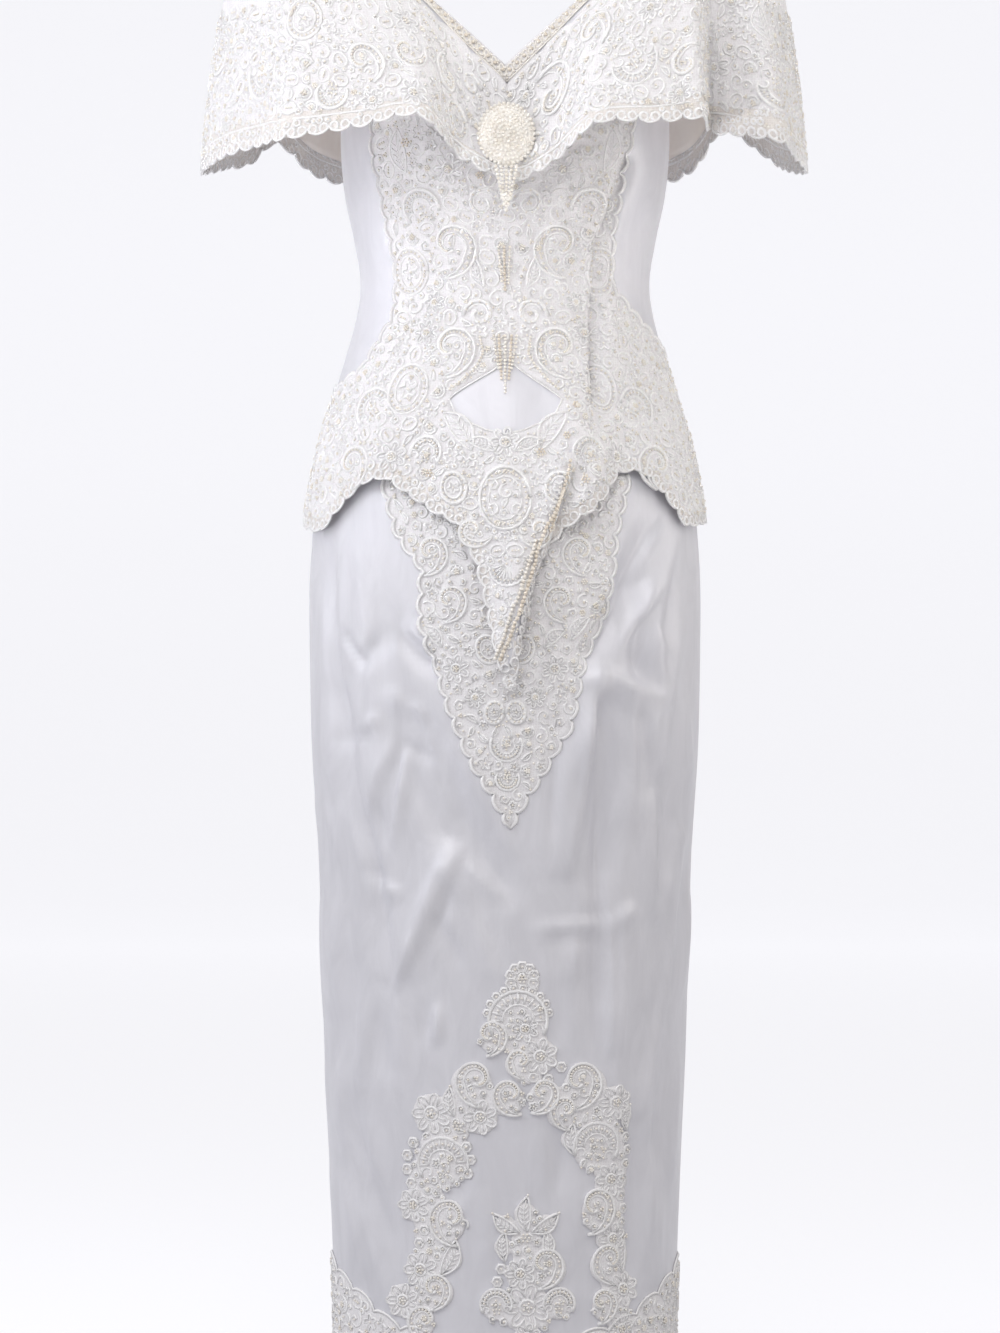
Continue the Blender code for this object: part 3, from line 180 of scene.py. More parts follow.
SKIRT_CREASES = {
    Side.FRONT: [
        (-157, -590, -141, -763, 70, -56, 10, 1.8, .5), (-141, -763, -98, -975, 70, -56, 20, 1.8, .5),
        (-128, -600, -112, -760, 112, 45), (-94, -650, -57, -717, 98, -37),
        (-51, -865, -93, -972, 300, 32, -20, .16, .5), (-92, -775, -20, -905, 126, -30),
        (80, -697, 66, -790, 84, 56), (86, -740, 88, -990, 91, -56), (152, -570, 126, -690, 98, 56),
        (108, -610, 126, -715, 91, -56), (104, -920, 92, -1120, 112, 45), (136, -800, 132, -1160, 77, -46),
        (-128, -1180, -90, -1290, 112, 37), (-160, -592, -155, -675, 60, -39, 10, 1.5, .9),
        (-151, -614, -142, -719, 70, 52, 10, 2.6, .9), (-163, -619, -155, -728, 45, 31, -10, 1.2, .9),
        (-156, -728, -153, -815, 50, 35, 10, 2, .9), (-148, -719, -134, -780, 50, -36, 10, 1.6, .9),
        (-144, -669, -125, -698, 60, -63, 10, .6, .7), (-125, -698, -108, -672, 60, -52, 10, 1.8, .7),
        (-135, -675, -123, -686, 50, 35, 0, 1, 1), (-130, -751, -104, -744, 45, 36, 10, 2.2, 1),
        (-135, -764, -116, -761, 40, -26, 10, 1.5, 1), (-100, -768, -120, -834, 60, 57, -20, 3.4, .75),
        (-88, -768, -100, -855, 60, 52, 20, .4, .8), (-93, -764, -65, -782, 50, -35, 10, 1.4, .8),
        (-81, -728, -69, -748, 45, 39, 0, 1.5, 1), (-113, -815, -106, -859, 45, -30, 10, 1.4, 1),
        (-81, -742, 0, -892, 140, -74, -40, 1.6, .5), (-74, -747, -38, -826, 50, 31, -20, 2.8, .8),
        (-46, -764, 6, -859, 60, 30, 30, 2.4, .8), (-42, -861, -94, -977, 55, 74, 20, 4, .55),
        (-42, -861, -2, -901, 55, 52, -20, 3.2, .75), (-52, -878, -60, -929, 60, -39, 30, 1.2, .9),
        (-31, -907, -4, -977, 70, 30, -30, 2.5, .9), (-65, -916, -38, -962, 60, -30, 20, 1.5, .9),
        (-81, -933, -74, -977, 50, 26, 10, 1.5, 1), (-112, -892, -89, -901, 45, 36, 10, 2, 1),
        (-127, -876, -106, -887, 45, -26, 10, 1.5, 1), (-141, -826, -116, -907, 60, 44, 20, 2.2, .8),
        (-58, -994, -59, -1032, 45, 44, 10, 2, 1), (-67, -990, -71, -1033, 50, -31, 10, 1.4, 1),
        (-100, -662, -60, -702, 60, -52, -20, 1.5, .7), (-87, -658, -64, -684, 50, 44, 10, 2.2, .9),
        (-106, -719, -81, -742, 60, 36, 10, 1.6, .9), (-162, -815, -146, -876, 50, 39, 10, 2, .9),
        (-153, -907, -145, -1012, 70, 44, -20, 2.4, .9), (-134, -955, -141, -1060, 80, -44, 30, 1.6, .9),
        (-125, -990, -128, -1077, 60, 31, 20, 1.8, .9), (-109, -1003, -104, -1064, 70, -35, -20, 1.6, .9),
        (-93, -990, -88, -1051, 50, 25, 10, 2, .9), (-150, -1051, -140, -1138, 60, 39, 10, 2, .9),
        (-135, -1086, -99, -1204, 70, -49, -40, 1.6, .8), (-146, -1147, -125, -1243, 60, 39, 20, 2.2, .9),
        (-120, -1094, -116, -1164, 50, 26, 10, 2, 1), (-31, -1121, -46, -1173, 70, -26, 30, 1.6, 1),
        (-20, -1156, -15, -1234, 60, 25, 20, 2, 1), (-31, -728, -17, -780, 50, -22, 10, 1.5, 1),
        (6, -998, 8, -1051, 60, -25, 10, 1.5, 1), (128, -579, 74, -696, 100, -120, 50, 1.3, .45),
        (139, -571, 118, -619, 55, 71, 10, .5, .7), (128, -619, 107, -675, 55, 66, 20, .5, .75),
        (142, -619, 114, -665, 45, 49, -20, 2, .9), (149, -606, 142, -675, 50, -54, 10, 1.4, .8),
        (131, -675, 137, -719, 45, 60, 10, 2, .8), (113, -684, 123, -710, 60, -66, 10, 1.4, .8),
        (122, -660, 144, -689, 45, 45, 10, 2, 1), (79, -699, 137, -726, 60, 84, -20, 2.6, .6),
        (80, -700, 54, -878, 65, 71, 20, 3, .6), (74, -710, 86, -758, 60, -49, 10, 1.3, .8),
        (99, -732, 83, -887, 110, -91, 30, 1.4, .6), (111, -728, 106, -841, 60, 54, 20, 2, .8),
        (48, -741, 41, -850, 60, -39, -20, 1.8, .9), (35, -780, 29, -867, 60, 26, 10, 2, .9),
        (65, -767, 60, -841, 50, -31, 10, 1.5, 1), (118, -738, 131, -815, 60, -42, 20, 1.5, .9),
        (134, -735, 125, -780, 50, 39, -10, 1.6, 1), (133, -815, 135, -922, 45, 60, -20, 2.2, .7),
        (142, -789, 146, -885, 45, -42, 10, 1.4, .8), (156, -660, 137, -799, 50, 54, -30, 1.8, .8),
        (160, -728, 163, -815, 45, 45, 10, 1.6, .9), (158, -848, 119, -1094, 45, 52, 50, 2.6, .6),
        (147, -907, 118, -1087, 45, -36, 40, 1.5, .7), (162, -859, 149, -990, 50, -35, -20, 1.5, .8),
        (165, -902, 156, -998, 45, 36, 10, 1.6, .9), (25, -928, 93, -925, 45, 36, 10, 2.4, .8),
        (93, -926, 115, -910, 45, 36, 10, 2, .9), (35, -936, 83, -937, 50, -25, 10, 1.5, 1),
        (90, -888, 89, -1035, 50, 52, 10, .3, .6), (81, -894, 79, -1025, 90, -44, -10, 1.2, .7),
        (102, -955, 99, -1042, 60, 30, 10, 1.8, .9), (63, -929, 58, -977, 50, 25, 10, 1.8, 1),
        (48, -972, 45, -1033, 70, -25, 10, 1.5, 1), (125, -998, 118, -1068, 50, -35, 10, 1.5, .9),
        (135, -1016, 125, -1121, 50, 44, 20, 2, .8), (146, -1033, 139, -1147, 50, -35, 10, 1.5, .9),
        (155, -1042, 149, -1164, 50, 36, -10, 1.8, .9), (118, -1094, 107, -1243, 70, -49, 30, 1.6, .7),
        (131, -1129, 123, -1225, 50, 36, 20, 2, .9), (142, -1173, 132, -1252, 60, 31, -20, 1.8, .9),
        (48, -1094, 45, -1164, 70, -26, 20, 1.6, 1), (31, -1103, 35, -1164, 60, 22, 10, 2, 1),
        (65, -1147, 60, -1217, 60, 22, 10, 2, 1),
    ],
    Side.BACK: [
        (-120, -640, -104, -930, 160, -48), (-60, -660, -84, -1050, 180, 48),
        (34, -620, 60, -900, 160, -40), (104, -650, 80, -1010, 180, 56), (20, -1000, -26, -1300, 180, 40),
        (-118, -1060, -104, -1330, 160, 40), (122, -1040, 110, -1310, 150, -40),
        (-140, -560, -132, -700, 60, 31, 10, 2, .9), (-112, -590, -62, -690, 70, -37, -30, 1.5, .8),
        (-66, -640, -100, -760, 60, 34, 20, 3, .8), (-84, -700, -6, -850, 120, -43, -40, 1.6, .6),
        (-20, -600, -34, -720, 60, -25, 20, 1.6, .9), (12, -610, 16, -740, 60, 23, 10, 2, .9),
        (60, -600, 118, -690, 70, -40, 30, 1.4, .7), (70, -690, 130, -716, 60, 34, -20, 2.6, .8),
        (74, -692, 46, -860, 60, 31, 20, 3, .7), (96, -730, 82, -890, 90, -34, 30, 1.4, .7),
        (136, -640, 128, -800, 50, 25, -20, 1.8, .9), (142, -780, 112, -1040, 50, 28, 40, 2.4, .8),
        (-44, -800, -86, -930, 60, 37, 20, 3.6, .7), (-44, -800, -4, -840, 60, 28, -20, 3, .8),
        (-134, -720, -118, -860, 60, -28, 20, 1.5, .9), (-150, -860, -140, -990, 60, 25, -20, 2, .9),
        (20, -900, 90, -898, 50, 20, 10, 2.2, .9), (58, -930, 60, -1070, 60, 28, 10, .5, .8),
        (-60, -980, -66, -1090, 70, -22, 20, 1.6, .9), (-20, -1000, -26, -1130, 80, 20, 20, 1.8, .9),
        (110, -1080, 96, -1230, 70, -28, 30, 1.6, .8), (-110, -1120, -86, -1240, 70, 25, -30, 1.8, .9),
        (30, -1120, 38, -1240, 70, -19, 20, 1.6, .9), (-40, -1180, -50, -1280, 70, 19, 20, 1.8, .9),
    ],
}

# Places on the collar's hem: turn, x, y, z, and how round the cloth falls to it
COLLAR_STATIONS = [
    (-180, 0, .142, -.254, .35), (-150, -.112, .15, -.25, .5), (-137, -.158, .146, -.243, .75),
    (-130, -.186, .132, -.234, .8), (-124, -.212, .116, -.21, .85), (-118, -.23, .101, -.23, .9),
    (-112, -.246, .082, -.235, .95), (-90, -.272, -.005, -.25, 1), (-75, -.235, -.095, -.24, .9),
    (-60, -.18, -.15, -.236, .7), (-45, -.125, -.168, -.228, .5), (-30, -.076, -.166, -.22, .3),
    (-15, -.036, -.138, -.252, .2), (0, .006, -.131, -.27, .1), (15, .04, -.14, -.256, .2),
    (30, .08, -.165, -.226, .3), (45, .13, -.168, -.224, .5), (58, .168, -.15, -.22, .7),
    (66, .188, -.112, -.222, .8), (74, .232, -.105, -.234, .9), (90, .27, -.01, -.249, 1),
    (112, .246, .082, -.234, .95), (118, .228, .101, -.217, .9), (124, .204, .12, -.196, .85),
    (130, .182, .133, -.229, .8), (137, .157, .146, -.241, .75), (150, .114, .15, -.249, .5),
    (180, 0, .142, -.254, .35),
]
# Folds from the collar's neck to its hem: turn, width and rise
COLLAR_WAVES = [
    (-165, 7, -.006), (-148, 7, .008), (-130, 7, -.008), (-115, 7, .008), (-72, 5, -.008), (-62, 5, .008),
    (-27, 5, .01), (-18, 4, -.008), (18, 4, -.006), (28, 5, .008), (57.5, 3.2, .012), (66, 4, -.029),
    (75, 4, .012), (115, 7, .008), (130, 7, -.008), (148, 7, .008), (165, 7, -.006),
]
# Edges by turn and level: the basque's hem, the bodice lace's sides and the top of the collar's lace
BASQUE_HEM = [
    (-180, -.562), (-160, -.556), (-140, -.542), (-122, -.532), (-105, -.55), (-90, -.567), (-64, -.576),
    (-46, -.535), (-36, -.53), (-21, -.559), (-13, -.571), (-7.1, -.606), (-4.3, -.6405), (-2, -.68),
    (1.3, -.7165), (4.6, -.66), (8, -.612), (16, -.577), (28, -.547), (35, -.524), (45, -.524), (54, -.547),
    (62.5, -.571), (90, -.565), (105, -.549), (122, -.531), (140, -.543), (160, -.557), (180, -.562),
]
LACE_EDGE_LEFT = [
    (47, -.082), (46, -.13), (49, -.2), (47, -.27), (43, -.32), (45, -.365), (62, -.395), (78, -.414),
    (90, -.422),
]
LACE_EDGE_RIGHT = [
    (-47, -.082), (-50, -.13), (-52, -.2), (-50, -.27), (-47, -.33), (-46, -.39), (-58, -.436),
    (-76, -.452), (-90, -.452),
]
LACE_EDGE_BACK_Z = -0.446
COLLAR_LACE_TOP = [
    (0, .2), (18, .2), (34, .17), (48, .3), (62, .36), (78, .46), (95, .54), (120, .52), (150, .36),
    (180, .28),
]
# Above this share of the collar's depth, by turn from the front, its lace is nearly bare
COLLAR_BARE = [(0, 0), (50, 0), (58, .42), (70, .58), (90, .62), (120, .58), (180, .35)]
# Outline of the pointed panel, and of the window of bare satin below the waist: x, z
SKIRT_POINT = [
    (.106, -.53), (.094, -.582), (.089, -.652), (.063, -.704), (.054, -.751), (.038, -.78), (.018, -.809),
    (.004, -.835), (-.01, -.809), (-.028, -.78), (-.045, -.739), (-.057, -.704), (-.072, -.658),
    (-.07, -.612), (-.092, -.582), (-.105, -.534),
]
WINDOW = [
    (.002, -.43), (.014, -.44), (.027, -.449), (.039, -.457), (.049, -.465), (.044, -.476), (.033, -.485),
    (.017, -.492), (0, -.496), (-.017, -.492), (-.033, -.485), (-.044, -.476), (-.049, -.464),
    (-.038, -.456), (-.025, -.448), (-.011, -.44),
]

# Rows of beads on the front: path of x and z, pitch, radius, champagne
BEAD_ROWS = [
    ([(-.022, -.41), (-.019, -.424), (-.025, -.436), (-.036, -.447), (-.048, -.456)], .0032, .0015, False),
    ([(.022, -.41), (.02, -.424), (.026, -.436), (.036, -.447), (.046, -.456)], .0032, .0015, False),
    ([(-.006, -.33), (-.003, -.36)], .003, .0014, False),
    ([(-.001, -.33), (0, -.368)], .003, .0015, True),
    ([(.004, -.33), (.003, -.362)], .003, .0014, False),
    ([(-.01, -.409), (-.0055, -.438)], .0032, .0015, False),
    ([(-.0055, -.409), (-.0032, -.447)], .0032, .0016, True),
    ([(0, -.409), (0, -.459)], .0032, .0016, False),
    ([(.0055, -.409), (.0032, -.447)], .0032, .0016, True),
    ([(.01, -.409), (.0055, -.438)], .0032, .0015, False),
    ([(.047, -.545), (.0335, -.58), (.022, -.614), (.0125, -.645), (.004, -.675),
      (-.003, -.693)], .0038, .0021, True),
    ([(.026, -.59), (.0175, -.614), (.008, -.645), (-.0005, -.675), (-.0075, -.692)], .0038, .002, False),
    ([(.052, -.52), (.046, -.548), (.037, -.58)], .0036, .0018, True),
]
# Motifs of the front: kind, x, z, radius, angle, mirrored; the pairs are given at negative x
FRONT_PAIRS = [
    (CURL, -.02, -.292, .0165, 20), (SCROLL, -.042, -.334, .0245), (CURL, -.0225, -.389, .0155, -10, True),
    (SCROLL, -.043, -.424, .024), (OVAL, -.083, -.35, .021), (OVAL, -.085, -.455, .023),
    (SHELL, -.074, -.295, .0185, 20), (ROSETTE, -.05, -.262, .015), (LEAF, -.093, -.245, .02, 10),
    (LEAF, -.04, -.492, .022, 38, True), (LEAF, -.02, -.505, .013, 70, True),
    (SHELL, -.116, -.47, .019, 40), (ROSETTE, -.098, -.515, .0145), (SCROLL, -.13, -.522, .02, 30),
    (SHELL, -.07, -.512, .016, -15), (CURL, -.011, -.541, .008, 0, True), (CURL, -.011, -.561, .0085, 180),
    (OVAL, -.045, -.543, .014, 15), (ROSETTE, -.069, -.405, .012), (ROSETTE, -.062, -.378, .01),
    (LEAF, -.024, -.353, .013, 15), (CURL, -.02, -.25, .0125, 150), (SCROLL, -.027, -.585, .015, 60, True),
]
FRONT_MOTIFS = [
    (ROSETTE, 0, -.503, .014), (OVAL, 0, -.552, .0285), (FAN, .002, -.61, .019, 180),
    (ROSETTE, .004, -.712, .007),
]
# Clusters of champagne beads on the front, in the same columns
FRONT_CLUSTERS = [
    (KNOT, -.068, -.53, .004), (KNOT, .031, -.512, .004), (KNOT, .066, -.536, .004),
    (KNOT, -.087, -.238, .0045), (KNOT, .052, -.497, .0034), (KNOT, -.022, -.268, .0034),
    (KNOT, .06, -.47, .0034),
]
# Motifs of the pointed panel, in the same columns
POINT_PAIRS = [
    (SCROLL, -.062, -.603, .0175), (SCROLL, -.045, -.645, .0165), (ROSETTE, -.043, -.701, .013),
    (OVAL, -.015, -.684, .0125, 20), (ROSETTE, -.026, -.726, .01), (OVAL, -.0095, -.739, .01, -10),
    (CURL, -.014, -.652, .01, 30),
]
POINT_MOTIFS = [
    (LEAF, .042, -.674, .012, -50), (LEAF, .064, -.665, .013, -40), (LEAF, -.062, -.672, .012, 40, True),
    (SHELL, .001, -.768, .015, 180), (SHELL, .002, -.797, .011, 180), (ROSETTE, .002, -.715, .009),
]
# Large motifs of the collar's halves: kind, turn, level, radius, angle, mirrored
COLLAR_MOTIFS = {
    "left": [
        (SCROLL, 30, .4, .019, 40), (SCROLL, 16, .52, .025, 200, True), (SHELL, 40, .72, .0225, 190),
        (ROSETTE, 45, .47, .0135), (SCROLL, 54, .77, .015, 150), (ROSETTE, 52, .91, .0115),
        (CURL, 31, .89, .0125, 170), (ROSETTE, 6, .42, .0115), (CURL, 8, .84, .0125, 40),
        (SHELL, 75, .86, .02, 190), (LEAF, 74, .66, .018, 10), (LEAF, 79, .64, .015, -25, True),
        (OVAL, 87, .8, .0175), (ROSETTE, 67, .8, .012),
    ],
    "right": [
        (SHELL, -70, .8, .0235, 190), (OVAL, -60, .6, .02, -20), (SCROLL, -43, .72, .019, 40),
        (SHELL, -52, .87, .015, 170), (ROSETTE, -31, .88, .0135), (SCROLL, -31, .62, .017, 120, True),
        (SCROLL, -21, .54, .016, 200), (OVAL, -17, .8, .0145, 20), (ROSETTE, -33, .42, .014),
        (SHELL, -84, .72, .019, 160), (ROSETTE, -79, .91, .0115), (ROSETTE, -42, .91, .0105),
        (CURL, -12, .46, .012, 30),
    ],
}
# Pieces of the arch on the lower skirt: spine (x, z and half width), flat width, length and area,
# and motifs of the front's columns
ARCH = {
    "finial": ([
        (.015, -.962, .006), (.015, -.982, .012), (.014, -1.004, .02), (.016, -1.024, .018),
        (.022, -1.044, .012), (.02, -1.062, .009),
    ], (.075, .115, .0049), [
        (KNOT, .0148, -.9722, .0044), (RING, .0246, -.9758, .0053), (RING, .0248, -.9693, .0053),
        (RING, .0211, -.9639, .0053), (RING, .0148, -.9618, .0053), (RING, .0086, -.9639, .0053),
        (RING, .0049, -.9693, .0053), (RING, .0051, -.9758, .0053), (SHELL, .0113, -1.0089, .0286),
        (RING, .0385, -1.0023, .0038), (RING, .0356, -.9944, .0038), (RING, .0304, -.9878, .0038),
        (RING, .0235, -.9831, .0038), (RING, .0155, -.9806, .0038), (RING, .0072, -.9806, .0038),
        (RING, -.0008, -.9831, .0038), (RING, -.0077, -.9878, .0038), (RING, -.0129, -.9944, .0038),
        (RING, -.0158, -1.0023, .0038), (ROSETTE, .0175, -1.0159, .0125),
        (SCROLL, -.0096, -1.0246, .0156, 6), (ROSETTE, .0306, -1.0403, .0166),
        (SCROLL, .0105, -1.0473, .013, -3, True), (RING, .0489, -1.0499, .005),
        (RING, .0244, -1.0587, .0047), (RING, .0375, -1.0604, .0047),
    ]),
    "arm_left": ([
        (.032, -1.078, .007), (.06, -1.078, .01), (.078, -1.094, .014), (.088, -1.118, .014),
        (.094, -1.146, .013), (.092, -1.176, .011), (.094, -1.208, .012), (.096, -1.246, .01),
        (.1, -1.28, .009),
    ], (.09, .235, .0113), [
        (SCROLL, .0349, -1.077, .0163, -15), (SCROLL, .0698, -1.0674, .0215, 1),
        (SCROLL, .0498, -1.091, .0149, -2, True), (ROSETTE, .0952, -1.0822, .016),
        (LEAF, .1056, -1.0962, .0111, -4), (RING, .1052, -1.1137, .0053), (RING, .1078, -1.125, .005),
        (RING, .1061, -1.1372, .005), (RING, .1034, -1.1495, .005), (SHELL, .0794, -1.1207, .023, -7),
        (LEAF, .0585, -1.1137, .0143, 3), (ROSETTE, .0925, -1.1503, .0154),
        (SCROLL, .0829, -1.1783, .0208, 1), (RING, .1017, -1.1652, .005), (RING, .1043, -1.1765, .005),
        (RING, .1026, -1.1888, .005), (ROSETTE, .0943, -1.2027, .0147),
        (SCROLL, .0882, -1.2254, .0182, -2, True), (LEAF, .103, -1.2184, .0149, -2),
        (ROSETTE, .1039, -1.2481, .016), (SCROLL, .0882, -1.2621, .0156, 4),
        (ROSETTE, .1021, -1.283, .0141),
    ]),
    "arm_right": ([
        (.006, -1.078, .007), (-.024, -1.078, .01), (-.042, -1.094, .014), (-.056, -1.118, .015),
        (-.068, -1.145, .014), (-.068, -1.178, .011), (-.064, -1.208, .012), (-.068, -1.244, .01),
        (-.078, -1.278, .009),
    ], (.09, .235, .0122), [
        (SCROLL, .0017, -1.0779, .0169, 15, True), (SCROLL, -.0297, -1.0648, .0202, -6, True),
        (ROSETTE, -.0218, -1.0936, .016), (LEAF, -.048, -1.0805, .013, 7), (ROSETTE, -.0646, -1.091, .0186),
        (KNOT, -.0419, -1.1015, .0044), (SHELL, -.055, -1.1346, .0246, 6), (RING, -.0804, -1.1172, .0052),
        (RING, -.0856, -1.1285, .0054), (RING, -.0856, -1.1407, .0054), (RING, -.0821, -1.153, .0052),
        (RING, -.0339, -1.1198, .0049), (RING, -.0304, -1.1311, .0049), (RING, -.033, -1.1434, .0049),
        (ROSETTE, -.0803, -1.1722, .0154), (SCROLL, -.0524, -1.187, .0208, -1, True),
        (RING, -.0707, -1.194, .005), (RING, -.0751, -1.2053, .005),
        (LEAF, -.048, -1.2184, .0175, -25, True), (ROSETTE, -.0742, -1.2289, .0166),
        (SCROLL, -.0585, -1.2481, .0163, 4), (ROSETTE, -.089, -1.2568, .016),
        (SCROLL, -.0742, -1.2761, .0156, -4, True),
    ]),
    "spray": ([
        (.0175, -1.182, .006), (.018, -1.2, .01), (.022, -1.222, .012), (.018, -1.244, .012),
        (.019, -1.262, .022), (.019, -1.276, .018),
    ], (.075, .125, .0063), [
        (KNOT, .0175, -1.1992, .0046), (LEAF, .0175, -1.1783, .0156), (LEAF, 0, -1.1879, .0143, 55),
        (LEAF, .0358, -1.1879, .0143, -55, True), (LEAF, -.0017, -1.2071, .013, 1),
        (LEAF, .0367, -1.2062, .013, -1, True), (SCROLL, .0384, -1.2272, .0182),
        (ROSETTE, .0131, -1.2307, .0141), (RING, -.0035, -1.2263, .0049), (RING, -.007, -1.2376, .0049),
        (ROSETTE, .0192, -1.2603, .0211), (SHELL, -.0079, -1.2577, .0151, 4),
        (SHELL, .0471, -1.2577, .0151, -4), (ROSETTE, .0192, -1.2865, .0128),
    ]),
}
HEM_LACE_TOP = [
    (-180, -1.292), (-150, -1.28), (-120, -1.262), (-90, -1.226), (-62, -1.25), (-40, -1.28), (-20, -1.292),
    (0, -1.296), (22, -1.292), (42, -1.28), (64, -1.252), (90, -1.228), (120, -1.262), (150, -1.28),
    (180, -1.292),
]
# Scallops of the lace's hem: length, depth and how far inside the edge the eyelets lie
HEM_SCALLOPS = (0.0195, 0.0040, 0.0042)
# How wide a round of net a motif of the arch keeps, as a share of its radius
NET_ROUND = {SCROLL: 0.86, SHELL: 0.92, ROSETTE: 0.92, LEAF: 0.62, RING: 0.95, KNOT: 1.0}
# Small motifs by the least radius of the gap that they fill
SMALL_MOTIFS = [
    (0.0066, (SHELL, ROSETTE, OVAL, SCROLL)), (0.0042, (CURL, ROSETTE, SCROLL, LEAF, SHELL)),
    (0.0029, (CURL, ROSETTE, RING, CURL)), (0.0019, (RING, KNOT)),
]


# --- small tools ---


def smooth(at: Array, xs: Array, ys: Array) -> Array:
    """Read a smooth line through points.

    Args:
        at: The places to read.
        xs: The points' places, rising.
        ys: The points' values.

    Returns:
        The line's value at each place.
    """
    at = np.clip(at, xs[0], xs[-1])
    k = np.clip(np.searchsorted(xs, at, side="right") - 1, 0, len(xs) - 2)
    span = xs[k + 1] - xs[k]
    before = np.maximum(k - 1, 0)
    after = np.minimum(k + 2, len(xs) - 1)
    slope_in = (ys[k + 1] - ys[before]) / (xs[k + 1] - xs[before])
    slope_out = (ys[after] - ys[k]) / (xs[after] - xs[k])
    f = (at - xs[k]) / span
    start = (1 + 2 * f) * (1 - f) ** 2 * ys[k] + f * (1 - f) ** 2 * span * slope_in
    return start + f * f * (3 - 2 * f) * ys[k + 1] + f * f * (f - 1) * span * slope_out


def columns(rows: Sequence[tuple]) -> Array:
    """Turn a table into an array with one row for each of its columns."""
    return np.array(rows, float).T


def along(at: Array, table: Path) -> Array:
    """Read straight lines through a table of places and values."""
    xs, ys = columns(table)
    return np.interp(at, xs, ys)


def between(at: Array, marks: Array, path: Array) -> Array:
    """Return the points at some marks of a path of straight legs."""
    return np.column_stack([np.interp(at, marks, side) for side in path.T])


def ray(share: Array | float) -> Array:
    """Return complex numbers of length one at shares of a full turn."""
    return np.exp(2j * np.pi * share)


def level_edge(level: float) -> Edge:
    """Return an edge that keeps one level."""
    return lambda turn: np.full(len(turn), level)


def colour(code: str) -> tuple[float, float, float, float]:
    """Turn an sRGB hex code into a linear colour."""
    parts = [int(code[k : k + 2], 16) / 255 for k in (1, 3, 5)]
    linear = [part / 12.92 if part <= 0.04045 else ((part + 0.055) / 1.055) ** 2.4 for part in parts]
    return (linear[0], linear[1], linear[2], 1.0)


def make_object(name: str, data: bpy.types.ID) -> Item:
    """Put a mesh, a curve, a light or a camera into the scene as a named object."""
    data.name = name
    item = bpy.data.objects.new(name, data)
    bpy.context.scene.collection.objects.link(item)
    return item


def baked(item: Item) -> Mesh:
    """Return the evaluated mesh of an object, and remove the object."""
    bpy.context.view_layer.update()
    evaluated = item.evaluated_get(bpy.context.evaluated_depsgraph_get())
    mesh = bpy.data.meshes.new_from_object(evaluated)
    bpy.data.objects.remove(item)
    return mesh


def to_mesh(work: bmesh.types.BMesh, name: str) -> Mesh:
    """Return what was worked in a bmesh as a new mesh, and free the bmesh."""
    mesh = bpy.data.meshes.new(name)
    work.to_mesh(mesh)
    work.free()
    return mesh


# --- surfaces ---


class Surface:
    """A surface of the dress, addressed by turn and level."""

    down = -1.0
    turn_step = 0.25
    level_step = 0.002

    def point(self, turn: Array, level: Array) -> Array:
        """Return the points of the satin's outer face."""
        raise NotImplementedError

    def normal(self, turn: Array, level: Array) -> Array:
        """Return the unit normals, away from the body."""
        across = self.point(turn + self.turn_step, level) - self.point(turn - self.turn_step, level)
        fall = self.point(turn, level + self.level_step) - self.point(turn, level - self.level_step)
        out = np.cross(fall * self.down, across)
        return out / np.linalg.norm(out, axis=-1, keepdims=True)

    def lift(self, turn: Array, level: Array, height: Array | float) -> Array:
        """Return the points at a height over the satin."""
        height = np.broadcast_to(np.asarray(height, float), np.shape(turn))
        return self.point(turn, level) + self.normal(turn, level) * height[..., None]

    def metres(self, turn: Array, level: Array) -> tuple[Array, Array]:
        """Return the metres of cloth to a degree of turn and to a unit of level."""
        across = self.point(turn + 0.5, level) - self.point(turn - 0.5, level)
        step = 4 * self.level_step
        fall = self.point(turn, level + step) - self.point(turn, level - step)
        return np.linalg.norm(across, axis=-1), np.linalg.norm(fall, axis=-1) / (2 * step)

    def lengths(self, path: Array) -> Array:
        """Return the length of cloth from a path's start to each of its points."""
        middle = (path[1:] + path[:-1]) / 2
        per_turn, per_level = self.metres(middle[:, 0], middle[:, 1])
        step = np.diff(path, axis=0)
        return np.concatenate([[0.0], np.cumsum(np.hypot(step[:, 0] * per_turn, step[:, 1] * per_level))])


